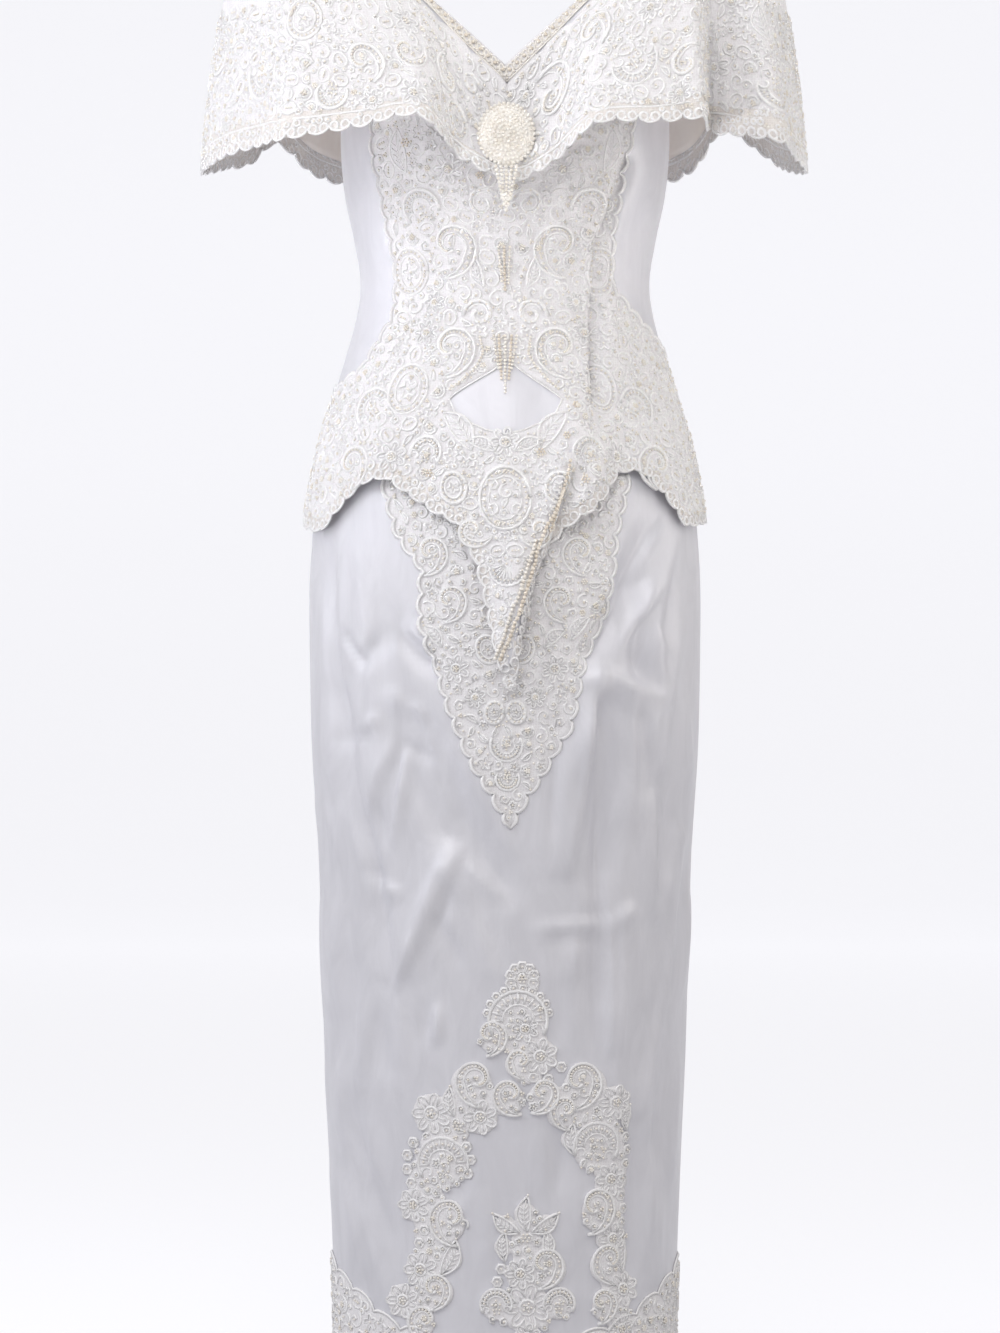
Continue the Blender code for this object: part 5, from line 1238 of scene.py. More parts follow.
class Needlework:
    """Cords and beads laid on a surface."""

    bead = 0.00118
    grid = 0.0028
    gap = 0.0002
    cord_clearance = 0.0012

    def __init__(self, surface: Surface, seed: int) -> None:
        """Start with a bare surface.

        Args:
            surface: What the work lies on.
            seed: Seed for the small irregularities of handwork.
        """
        self.surface = surface
        self.random = np.random.default_rng(seed)
        self.book = MotifBook()
        self.lines: list[Array] = []
        self.gauges: list[float] = []
        self.heights: list[float] = []
        self.pearls: list[Array] = []
        self.gold: list[Array] = []

    def line(self, path: Array, gauge: float, height: float | None = None) -> None:
        """Lay one cord along a path of turns and levels."""
        self.lines.append(path)
        self.gauges.append(gauge)
        self.heights.append(NET_TOP + gauge * 0.05 if height is None else height)

    def beads(self, places: Array, radius: float, gold: bool = False) -> None:
        """Sew beads of one size at turns and levels."""
        rows = np.column_stack([places, np.full(len(places), radius)])
        (self.gold if gold else self.pearls).append(rows)

    def row(self, path: Path, pitch: float, radius: float, gold: bool = False) -> None:
        """Sew a row of beads along a path."""
        dense, length = resample(self.surface, path, 6)
        at = np.linspace(0, length[-1], max(2, round(length[-1] / pitch) + 1))
        self.beads(between(at, length, dense), radius, gold)

    def rings(self, places: Array, shape: Array, height: float | None = None) -> None:
        """Lay a ring of cord round each place."""
        for (turn, level), across, fall in zip(places, *self.surface.metres(places[:, 0], places[:, 1])):
            ring = np.column_stack([turn + shape.real / across, level + shape.imag / fall])
            self.line(ring, MEDIUM, height)

    def motifs(self, motifs: Sequence[Motif], gold: bool = False) -> None:
        """Work a list of motifs."""
        centre = np.array([[motif.turn, motif.level] for motif in motifs], float)
        per_turn, per_level = self.surface.metres(centre[:, 0], centre[:, 1])
        for motif, across, fall in zip(motifs, per_turn, per_level):
            strokes, beads = self.book.draw(motif.kind, motif.size)
            spin = np.exp(1j * math.radians(motif.angle)) * motif.size

            def place(shape: Array) -> Array:
                """Lay a shape on the surface."""
                shape = (-shape.conjugate() if motif.mirrored else shape) * spin
                turn = motif.turn + shape.real / across
                return np.column_stack([turn, motif.level - self.surface.down * shape.imag / fall])

            for shape, gauge in strokes:
                self.line(place(shape), gauge)
            self.beads(place(beads), self.bead, gold)

    def candidates(self, loops: Sequence[Array]) -> Array:
        """Return a loose grid of places inside an outline with holes."""
        outline = loops[0]
        low, high = outline.min(axis=0), outline.max(axis=0)
        middle = (low + high) / 2
        fall = float(self.surface.metres(middle[:1], middle[1:])[1][0])
        found = []
        for level in np.arange(low[1], high[1], self.grid / fall):
            turns = np.linspace(low[0], high[0], 40)
            length = self.surface.lengths(np.column_stack([turns, np.full(40, level)]))
            marks = np.arange(self.grid * self.random.uniform(0, 1), length[-1], self.grid)
            found.append(np.column_stack([np.interp(marks, length, turns), np.full(len(marks), level)]))
        spots = np.concatenate(found)
        scale = np.column_stack(self.surface.metres(spots[:, 0], spots[:, 1]))
        spots = spots + self.random.uniform(-0.3, 0.3, spots.shape) * self.grid / scale
        return spots[inside(spots, loops)]

    def reach(self, body: Array, paths: Sequence[Array]) -> Array:
        """Return how far each place on the surface is from the nearest of a set of lines."""
        dense = []
        for path in paths:
            dense.append(between(np.linspace(0, len(path) - 1, 4 * len(path)), range(len(path)), path))
        points = np.concatenate(dense)
        tree = KDTree(len(points))
        for k, point in enumerate(self.surface.point(points[:, 0], points[:, 1])):
            tree.insert(point, k)
        tree.balance()
        return np.array([tree.find(spot)[2] for spot in body])

    def fill(
        self, loops: Sequence[Array], margin: float, largest: Field | float, smallest: float = 0.0016
    ) -> None:
        """Pack the ground between the large motifs with small ones, the widest gaps first.

        Args:
            loops: The lace's outline and its holes, as turns and levels.
            margin: The bare strip along the outline.
            largest: The largest radius of a small motif, or a function that gives it for each place.
            smallest: The smallest radius to fill.
        """
        spots = self.candidates(loops)
        body = self.surface.point(spots[:, 0], spots[:, 1])
        room = self.reach(body, loops) - margin
        room = np.minimum(room, self.reach(body, self.lines) - self.cord_clearance)
        limit = largest(spots[:, 0], spots[:, 1]) if callable(largest) else np.full(len(spots), largest)
        limit = limit * self.random.uniform(0.5, 1.0, len(spots))
        motifs, singles = [], []
        while True:
            score = np.minimum(room, limit)
            k = int(np.argmax(score))
            size = float(score[k])
            if size < smallest:
                break
            room = np.minimum(room, np.linalg.norm(body - body[k], axis=1) - size - self.gap)
            kinds = next((kinds for least, kinds in SMALL_MOTIFS if size >= least), None)
            if kinds is None:
                singles.append(spots[k])
                continue
            kind = kinds[int(self.random.integers(len(kinds)))]
            angle = float(self.random.uniform(0, 360))
            motifs.append(Motif(kind, spots[k, 0], spots[k, 1], size, angle, bool(self.random.integers(2))))
        self.motifs(motifs)
        if singles:
            self.beads(np.array(singles), self.bead)

    def cord_piece(self, name: str, material: Material) -> Item:
        """Make all the cords as one piece of closed threads, rounded over a three-sided core."""
        counts = [len(line) for line in self.lines]
        path = np.concatenate(self.lines)
        spots = self.surface.lift(path[:, 0], path[:, 1], np.repeat(self.heights, counts))
        core = bpy.data.curves.new("core", "CURVE")
        corners = core.splines.new("POLY")
        corners.points.add(2)
        corners.use_cyclic_u = True
        for corner, angle in zip(corners.points, (math.pi / 2, math.pi * 7 / 6, math.pi * 11 / 6)):
            corner.co = (math.cos(angle), math.sin(angle), 0, 1)
        curve = bpy.data.curves.new(name, "CURVE")
        curve.dimensions = "3D"
        curve.bevel_mode = "OBJECT"
        curve.bevel_object = make_object("core", core)
        curve.use_fill_caps = True
        start = 0
        for count, gauge in zip(counts, self.gauges):
            spline = curve.splines.new("POLY")
            spline.points.add(count - 1)
            rows = np.column_stack([spots[start : start + count], np.ones(count)])
            spline.points.foreach_set("co", rows.astype(np.float32).ravel())
            spline.points.foreach_set("radius", np.full(count, gauge * 1.15, np.float32))
            start += count
        mesh = baked(make_object(name, curve))
        bpy.data.objects.remove(curve.bevel_object)
        work = bmesh.new()
        work.from_mesh(mesh)
        bmesh.ops.remove_doubles(work, verts=work.verts, dist=0.00001)
        bmesh.ops.recalc_face_normals(work, faces=work.faces)
        work.to_mesh(mesh)
        work.free()
        smooth_mesh(mesh)
        mesh.materials.clear()
        mesh.materials.append(material)
        return make_object(name, mesh)

    def bead_piece(self, name: str, rows: Sequence[Array], material: Material) -> Item:
        """Make a set of beads as one piece."""
        table = np.concatenate(rows)
        spots = self.surface.lift(table[:, 0], table[:, 1], NET_TOP + table[:, 2] * 0.9)
        return string_beads(name, spots, table[:, 2], material)


def bead_group() -> bpy.types.GeometryNodeTree:
    """Return the node group that puts a small round bead on each point, sized by its attribute."""
    group = bpy.data.node_groups.new("beads_on_points", "GeometryNodeTree")
    group.interface.new_socket("Points", in_out="INPUT", socket_type="NodeSocketGeometry")
    group.interface.new_socket("Beads", in_out="OUTPUT", socket_type="NodeSocketGeometry")
    points = add_node(group, "NodeGroupInput").outputs[0]
    ball = add_node(group, "GeometryNodeMeshIcoSphere", {"Radius": 1.0, "Subdivisions": 1})
    size = add_node(group, "GeometryNodeInputNamedAttribute", {"Name": "size"}, data_type="FLOAT")
    links = {"Points": points, "Instance": ball.outputs["Mesh"], "Scale": size.outputs["Attribute"]}
    put = add_node(group, "GeometryNodeInstanceOnPoints", links=links)
    real = add_node(group, "GeometryNodeRealizeInstances", links={"Geometry": put.outputs["Instances"]})
    add_node(group, "NodeGroupOutput", links={0: real.outputs["Geometry"]})
    return group


def string_beads(name: str, spots: Array, radii: Array, material: Material) -> Item:
    """Make a bead at each spot, joined as one piece.

    Args:
        name: The piece's name.
        spots: The beads' centres.
        radii: Their radii.
        material: Their material.

    Returns:
        The piece.
    """
    work = bmesh.new()
    for spot in spots:
        work.verts.new(spot)
    mesh = to_mesh(work, name)
    mesh.attributes.new("size", "FLOAT", "POINT").data.foreach_set("value", radii.astype(np.float32))
    item = make_object(name, mesh)
    place = item.modifiers.new("beads", "NODES")
    place.node_group = bpy.data.node_groups.get("beads_on_points") or bead_group()
    mesh = baked(item)
    smooth_mesh(mesh)
    item = make_object(name, mesh)
    mesh.materials.clear()
    mesh.materials.append(material)
    return item


def inside(spots: Array, loops: Sequence[Array]) -> Array:
    """Tell which spots lie inside an outline with holes, all in the same flat coordinates."""
    crossed = np.zeros(len(spots), bool)
    x, y = spots[:, 0], spots[:, 1]
    for edge in loops:
        for a, b in zip(edge, np.roll(edge, -1, axis=0)):
            rising = (a[1] > y) != (b[1] > y)
            if rising.any():
                crossed ^= rising & (x < (b[0] - a[0]) * (y - a[1]) / (b[1] - a[1] + 1e-12) + a[0])
    return crossed


def nearest_on(spot: Array, start: Array, run: Array) -> Array:
    """Return the point nearest to a spot on a set of straight legs."""
    share = ((spot - start) * run).sum(axis=1) / np.maximum((run * run).sum(axis=1), 1e-15)
    near = start + run * np.clip(share, 0, 1)[:, None]
    return near[np.argmin(((near - spot) ** 2).sum(axis=1))]


def nearest_round(spot: Array, centres: Array, radii: Array) -> Array:
    """Return the point nearest to a spot on the nearest of a set of circles."""
    away = spot - centres
    gap = np.linalg.norm(away, axis=1)
    k = int(np.argmin(np.abs(gap - radii)))
    return centres[k] + away[k] * radii[k] / max(gap[k], 1e-9)


def on_front(surface: BodySurface, points: Path) -> list[tuple[float, float]]:
    """Turn x and z on the front into turn and level."""
    x, z = columns(points)
    return list(zip(surface.turn_at(x, z), z))


def place(surface: BodySurface, rows: Sequence[tuple]) -> list[Motif]:
    """Place motifs given by kind, x, z, radius, angle and mirrored."""
    turns = surface.turn_at(np.array([row[1] for row in rows]), np.array([row[2] for row in rows]))
    return [Motif(row[0], float(turn), *row[2:]) for turn, row in zip(turns, rows)]


def both_sides(rows: Sequence[tuple]) -> list[tuple]:
    """Add the mirror image of each row; the rows give the motifs at negative x."""
    motifs = [Motif(*row) for row in rows]
    return [
        (motif.kind, motif.turn * way, *motif[2:4], motif.angle * way, motif.mirrored != (way < 0))
        for motif in motifs
        for way in (1, -1)
    ]


def resample(surface: Surface, path: Path, count: int) -> tuple[Array, Array]:
    """Return a path cut finely, and the length of cloth to each of its points."""
    points = np.array(path, float)
    legs = np.arange(len(points))
    fine = np.linspace(0, len(points) - 1, (len(points) - 1) * count + 1)
    dense = between(fine, legs, points)
    return dense, surface.lengths(dense)


@dataclass
class Scallops:
    """A scalloped edge: its line, and the middles of its eyelets, two to a scallop."""

    line: Array
    middles: Array

    @classmethod
    def along(
        cls, surface: Surface, path: Path, pitch: float, depth: float, inset: float = 0.0
    ) -> "Scallops":
        """Edge a path with round scallops that stand out on its left.

        Args:
            surface: The surface that the path lies on.
            path: Turns and levels.
            pitch: The length of a scallop.
            depth: How far it stands out.
            inset: How far inside its edge the scallop's two eyelets lie.

        Returns:
            The edge.
        """
        dense, length = resample(surface, path, 8)
        count = max(1, round(length[-1] / pitch))
        part = np.linspace(0, count, count * 8 + 1)
        rise = depth * np.abs(np.sin(np.pi * part)) ** 0.6
        line = cls.offset(surface, dense, length, part / count, rise)
        eyelets = (np.arange(2 * count) + 0.5) / (2 * count)
        height = np.full(2 * count, depth * 0.82 - inset)
        return cls(line, cls.offset(surface, dense, length, eyelets, height))

    @staticmethod
    def offset(surface: Surface, dense: Array, length: Array, part: Array, rise: Array) -> Array:
        """Return the points that lie to the left of a path by a rise in metres."""
        at = part * length[-1]
        near = length[-1] * 0.004
        here, ahead, behind = (between(mark, length, dense) for mark in (at, at + near, at - near))
        scale = np.column_stack(surface.metres(here[:, 0], here[:, 1]))
        run = (ahead - behind) * scale
        side = np.column_stack([-run[:, 1], run[:, 0]])
        side /= np.maximum(np.linalg.norm(side, axis=1, keepdims=True), 1e-12)
        return here + side * rise[:, None] / scale


def net_mesh(
    surface: Surface, loops: Sequence[Array], cell: float, free: Field | None, discs: Array | None
) -> Mesh:
    """Return a grid of net cut to an outline with holes and laid on a surface.

    Args:
        surface: The surface.
        loops: The outline and its holes, as turns and levels.
        cell: The grid's cell, in metres.
        free: Tells where no satin lies beneath, which takes the second material: net with painted shade.
        discs: Turns, levels and radii of rounds that are kept as well as what the loops hold.

    Returns:
        The mesh.
    """
    low, high = loops[0].min(axis=0), loops[0].max(axis=0)
    middle = (low + high) / 2
    scale = np.concatenate(surface.metres(middle[:1], middle[1:]))
    if discs is not None:
        low = np.minimum(low, (discs[:, :2] - discs[:, 2:] / scale).min(axis=0))
        high = np.maximum(high, (discs[:, :2] + discs[:, 2:] / scale).max(axis=0))
    across, down = (max(2, math.ceil(span)) for span in (high - low) * scale / cell)
    work = bmesh.new()
    bmesh.ops.create_grid(work, x_segments=across, y_segments=down, size=0.5)
    reach = high - low
    for spot in work.verts:
        spot.co.x = low[0] + (spot.co.x + 0.5) * reach[0]
        spot.co.y = low[1] + (spot.co.y + 0.5) * reach[1]
    if surface.down > 0:
        bmesh.ops.reverse_faces(work, faces=work.faces)
    centres = np.array([face.calc_center_median()[:2] for face in work.faces])
    outside = ~inside(centres, loops)
    if discs is not None:
        gaps = np.linalg.norm((centres[:, None] - discs[:, :2]) * scale, axis=2)
        outside &= (gaps > discs[:, 2]).all(axis=1)
    gone = [face for face, out in zip(work.faces, outside) if out]
    bmesh.ops.delete(work, geom=gone, context="FACES")
    start = np.concatenate(loops) * scale
    end = np.concatenate([np.roll(edge, -1, axis=0) for edge in loops]) * scale
    for spot in work.verts:
        if spot.is_boundary:
            here = np.array(spot.co[:2]) * scale
            near = nearest_on(here, start, end - start)
            if discs is not None:
                rim = nearest_round(here, discs[:, :2] * scale, discs[:, 2])
                near = min(near, rim, key=lambda spot: float(np.linalg.norm(spot - here)))
            spot.co.xy = near / scale
    mesh = to_mesh(work, "net")
    if free is not None:
        middles = np.array([face.center for face in mesh.polygons])
        mesh.polygons.foreach_set("material_index", free(middles[:, 0], middles[:, 1]).astype(np.int32))
    flat = flat_positions(mesh)
    set_positions(mesh, surface.lift(flat[:, 0], flat[:, 1], NET_BASE))
    write_uv(mesh, flat[:, 0] * scale[0], flat[:, 1] * scale[1])
    smooth_mesh(mesh)
    return mesh


@dataclass
class LacePiece:
    """One piece of lace: a net sheet with cords and beads."""

    node: str
    loops: list[Array]
    work: Needlework
    cut: Cut
    cell: float
    free: Field | None = None
    discs: Array | None = None

    def make(self, finishes: Finishes, thread: Material | None = None) -> None:
        """Make the net, the cords (of the lace's own thread or of another) and the beads."""
        mesh = net_mesh(self.work.surface, self.loops, self.cell, self.free, self.discs)
        net = make_object(self.node + "_net", mesh)
        mesh.materials.append(finishes.net)
        # Where no satin lies beneath, the net takes the second material, painted with shade.
        mesh.materials.append(finishes.painted_shade_net)
        wall(net, NET_THICKNESS, 1.0)
        work = self.work
        made = [work.cord_piece(self.node + "_cords", thread or finishes.cord)]
        if work.pearls:
            made.append(work.bead_piece(self.node + "_pearls", work.pearls, finishes.pearl))
        if work.gold:
            made.append(work.bead_piece(self.node + "_gold_beads", work.gold, finishes.champagne))
        tag(net, self.node)
        tag(made[0])
        for item in made[1:]:
            tag(item)
        self.cut.declare(net, made)
        faces = [sum(len(face.vertices) - 2 for face in item.data.polygons) for item in made]
        LOG.info("%s: %d cords, triangles %s", self.node, len(work.lines), faces)


# --- the dress's own pieces ---


@dataclass
class Bodice:
    """The seven satin panels of the bodice, its closing strip and its lace."""

    surface: BodiceSurface
    finishes: Finishes
    placket_turns: tuple[float, float] = (173, 187)
    placket_top: float = -0.184
    placket_foot: float = -0.398
    placket_lift: float = 0.0008        # over the lace at its ends
    lace_drop: float = 0.012            # the lace's top edge, below the neckline
    side_scallops: tuple[float, float] = (0.019, 0.0045)
    top_scallops: tuple[float, float] = (0.030, 0.0045)

    def build(self) -> None:
        """Build the satin and the lace."""
        panels = [Panel("bodice_front", -30, 30, Cut(0.20, 0.58, 0.0713, "stretched"))]
        for name, first, last, flat in (
            ("side_front", 30, 90, (0.18, 0.48, 0.055)),
            ("side_back", 90, 144, (0.16, 0.42, 0.044)),
            ("back", 144, 180, (0.12, 0.52, 0.040)),
        ):
            cut = Cut(*flat, "stretched")
            panels.append(Panel(f"bodice_{name}_left", first, last, cut))
            panels.append(Panel(f"bodice_{name}_right", -last, -first, cut))
        satin = SatinWork(self.surface, self.finishes, column_step=1.9, row_step=0.006)
        for panel in panels:
            satin.lay(panel, self.surface.top, self.surface.basque_satin)
        self.placket()
        self.front_lace()
        self.back_lace("peplum_lace_back_left", 90, 180)
        self.back_lace("peplum_lace_back_right", -180, -90)

    def placket(self) -> None:
        """Lay the lapped strip over the closing at the centre back."""
        over_lace = Raised(self.surface, NET_TOP + self.placket_lift)
        strip = SatinWork(over_lace, self.finishes, column_step=1.4, row_step=0.006, seam_roll=0.0)
        cut = Cut(0.036, 0.22, 0.0076, "stretched", ("bodice_back_left_satin", "bodice_back_right_satin"))
        panel = Panel("back_placket", *self.placket_turns, cut)
        strip.lay(panel, level_edge(self.placket_top), level_edge(self.placket_foot))

    def front_lace(self) -> None:
        """Work the lace over the front, with its window of bare satin."""
        turns = range(-42, 43, 6)
        neck = [(turn, float(self.surface.neck(np.array(turn))) - self.lace_drop) for turn in turns]
        sides = (LACE_EDGE_LEFT, LACE_EDGE_RIGHT[::-1])
        left, right = (Scallops.along(self.surface, side, *self.side_scallops) for side in sides)
        hem_turns = [90] + [turn for turn, _ in reversed(BASQUE_HEM) if abs(turn) < 90] + [-90]
        hem_path = [(turn, float(self.surface.basque_hem(np.array(turn)))) for turn in hem_turns]
        hem = Scallops.along(self.surface, hem_path, *HEM_SCALLOPS)
        window = np.array(on_front(self.surface, WINDOW))
        outline = np.concatenate([np.array(neck, float), left.line, hem.line, right.line])
        loops = [outline, window]
        work = Needlework(self.surface, seed=11)
        for edge in (left.line, right.line):
            work.line(edge, HEAVY)
        edge_band(work, hem)
        work.line(np.concatenate([window, window[:1]]), FINE)
        for rows, pitch, radius, gold in BEAD_ROWS:
            work.row(on_front(self.surface, rows), pitch, radius, gold)
        work.motifs(place(self.surface, both_sides(FRONT_PAIRS) + FRONT_MOTIFS))
        work.motifs(place(self.surface, FRONT_CLUSTERS), True)
        work.fill(loops, margin=0.0024, largest=0.0074)
        cut = Cut(0.50, 0.62, 0.139, "laid", ("bodice_front_satin",))
        LacePiece("bodice_lace_front", loops, work, cut, cell=0.0052, free=self.hem_free).make(self.finishes)

    def hem_free(self, turn: Array, level: Array) -> Array:
        """Tell where the lace hangs below the basque's satin; its net is painted darker there: painted shade.
        """
        return level < self.surface.basque_satin(turn) + 0.001

    def back_lace(self, node: str, first: float, last: float) -> None:
        """Work the lace round the back of the basque."""
        turns = np.linspace(last, first, 19)
        hem_path = list(zip(turns, self.surface.basque_hem(turns)))
        hem = Scallops.along(self.surface, hem_path, *HEM_SCALLOPS)
        tops = np.linspace(first, last, 19)
        top_path = list(zip(tops, self.surface.peplum_top(tops)))
        top = Scallops.along(self.surface, top_path, *self.top_scallops)
        loops = [np.concatenate([top.line, hem.line])]
        work = Needlework(self.surface, seed=23 if first > 0 else 29)
        work.line(top.line, MEDIUM)
        edge_band(work, hem)
        busy = []
        for k, turn in enumerate(np.linspace(first + 12, last - 12, 4)):
            kind = (SHELL, SCROLL, OVAL, SCROLL)[k]
            busy.append(Motif(kind, float(turn), -0.492, 0.022, 0.0, k == 3))
        work.motifs(busy)
        work.fill(loops, margin=0.0026, largest=0.0095, smallest=0.0024)
        cut = Cut(0.27, 0.12, 0.026, "laid", (f"bodice_side_{node.removeprefix('peplum_lace_')}_satin",))
        LacePiece(node, loops, work, cut, cell=0.0060, free=self.hem_free).make(self.finishes)


def edge_band(work: Needlework, edge: Scallops, ring: float = 0.0034) -> None:
    """Cord a scalloped edge and work its eyelets."""
    work.line(edge.line, MEDIUM, NET_MIDDLE)
    work.rings(edge.middles, loop(ring, ring * 1.12, 8), NET_MIDDLE)


@dataclass
class Skirt:
    """The satin skirt and its lace."""

    surface: SkirtSurface
    finishes: Finishes
    point_scallops: tuple[float, float] = (0.019, 0.005)
    arch_scallops: tuple[float, float] = (0.012, 0.003)
    border_scallops: tuple[float, float] = (0.031, 0.0062)
    arch_room: tuple[float, float] = (9, 0.028)     # degrees and metres round the motifs to be filled
    hem_cord: float = 0.001                         # heights of the border's straight cords
    upper_cord: float = 0.013

    def build(self) -> None:
        """Build the satin and the lace."""
        satin = SatinWork(self.surface, self.finishes, column_step=1.15, row_step=0.0052)
        coarse = SatinWork(self.surface, self.finishes, column_step=2.5, row_step=0.0095)
        top, hem = level_edge(WAIST_Z), level_edge(HEM_Z)
        satin.lay(Panel("skirt_front", -90, 90, Cut(0.50, 1.00, 0.439, "hung")), top, hem)
        for side, first, last in (("left", 90, 180), ("right", -180, -90)):
            cut = Cut(0.25, 1.00, 0.2185, "hung")
            coarse.lay(Panel("skirt_back_" + side, first, last, cut), top, hem)
        self.point_lace()
        for k, (node, (spine, flat, rows)) in enumerate(ARCH.items()):
            cut = Cut(*flat, "laid", ("skirt_front_satin",))
            self.motif_lace("hem_lace_" + node, spine, cut, rows, 41 + k)
        self.border_lace("hem_lace_border_front", -90, 90, 51)
        self.border_lace("hem_lace_border_back_left", 90, 180, 52)
        self.border_lace("hem_lace_border_back_right", -180, -90, 53)

    def point_lace(self) -> None:
        """Work the pointed panel below the basque."""
        edge = Scallops.along(self.surface, on_front(self.surface, SKIRT_POINT), *self.point_scallops)
        loops = [edge.line]
        work = Needlework(self.surface, seed=31)
        work.line(edge.line, HEAVY)
        work.motifs(place(self.surface, both_sides(POINT_PAIRS) + POINT_MOTIFS))
        work.fill(loops, margin=0.0022, largest=0.0066)
        cut = Cut(0.21, 0.31, 0.0405, "laid", ("skirt_front_satin",))
        LacePiece("skirt_lace_point", loops, work, cut, cell=0.0045).make(self.finishes)

    def motif_lace(
        self, node: str, spine: Sequence[tuple], cut: Cut, rows: Sequence[tuple], seed: int
    ) -> None:
        """Work one piece of the arch: a narrow band whose net runs out round its motifs."""
        x, z, half_width = columns(spine)
        run = np.column_stack([np.gradient(x), np.gradient(z)])
        side = np.column_stack([-run[:, 1], run[:, 0]])
        side = side / np.linalg.norm(side, axis=1, keepdims=True) * half_width[:, None]
        middle = np.column_stack([x, z])
        ring = np.concatenate([middle + side, (middle - side)[::-1], (middle + side)[:1]])
        edge = Scallops.along(self.surface, on_front(self.surface, ring), *self.arch_scallops)
        motifs = place(self.surface, rows)
        discs = np.array([(spot.turn, spot.level, spot.size * NET_ROUND[spot.kind]) for spot in motifs])
        centres = self.surface.point(discs[:, 0], discs[:, 1])
        low = discs[:, :2].min(axis=0) - self.arch_room
        high = discs[:, :2].max(axis=0) + self.arch_room
        room = [np.array([low, (high[0], low[1]), high, (low[0], high[1])])]
        work = Needlework(self.surface, seed)
        work.motifs(motifs)

        def largest(turn: Array, level: Array) -> Array:
            """Return the largest small motif at each place."""
            spots = self.surface.point(turn, level)[:, None]
            near = (np.linalg.norm(spots - centres, axis=2) < discs[:, 2]).any(axis=1)
            within = inside(np.column_stack([turn, level]), [edge.line])
            return np.where(near | within, 0.0046, 0.0)

        work.fill(room, margin=0.0, largest=largest, smallest=0.0019)
        LacePiece(node, [edge.line[:-1]], work, cut, cell=0.0026, discs=discs).make(self.finishes)

    def border_lace(self, node: str, first: float, last: float, seed: int) -> None:
        """Work one length of the hem border."""
        turns = np.linspace(first, last, 25)
        path = list(zip(turns, along(turns, HEM_LACE_TOP)))
        edge = Scallops.along(self.surface, path, *self.border_scallops)
        hem = np.array([(last, LACE_HEM_Z), (first, LACE_HEM_Z)], float)
        loops = [np.concatenate([edge.line, hem])]
        work = Needlework(self.surface, seed)
        work.line(edge.line, MEDIUM)
        work.line(np.column_stack([turns, np.full(25, LACE_HEM_Z + self.hem_cord)]), HEAVY)
        work.line(np.column_stack([turns, np.full(25, LACE_HEM_Z + self.upper_cord)]), MEDIUM)
        busy = []
        kinds = (SHELL, SCROLL, OVAL, ROSETTE, SCROLL)
        count = round((last - first) / 20)
        for k in range(count):
            turn = first + (k + 0.5) * (last - first) / count
            top = float(along(np.array(turn), HEM_LACE_TOP))
            size = 0.023 if k % 2 else 0.019
            level = (top + LACE_HEM_Z) / 2 + 0.004
            busy.append(Motif(kinds[k % 5], turn, level, size, 15.0 * k, bool(k % 2)))
        work.motifs(busy)
        front = first < 0 < last
        largest, smallest, width, cell = 0.0105, 0.0028, 0.25, 0.0065
        if front:
            largest, smallest, width, cell = 0.0078, 0.0018, 0.50, 0.0055
        work.fill(loops, margin=0.0026, largest=largest, smallest=smallest)
        rest = node.replace("hem_lace_border", "skirt") + "_satin"
        cut = Cut(width, 0.17, width * 0.108, "laid", (rest,))
        LacePiece(node, loops, work, cut, cell).make(self.finishes)


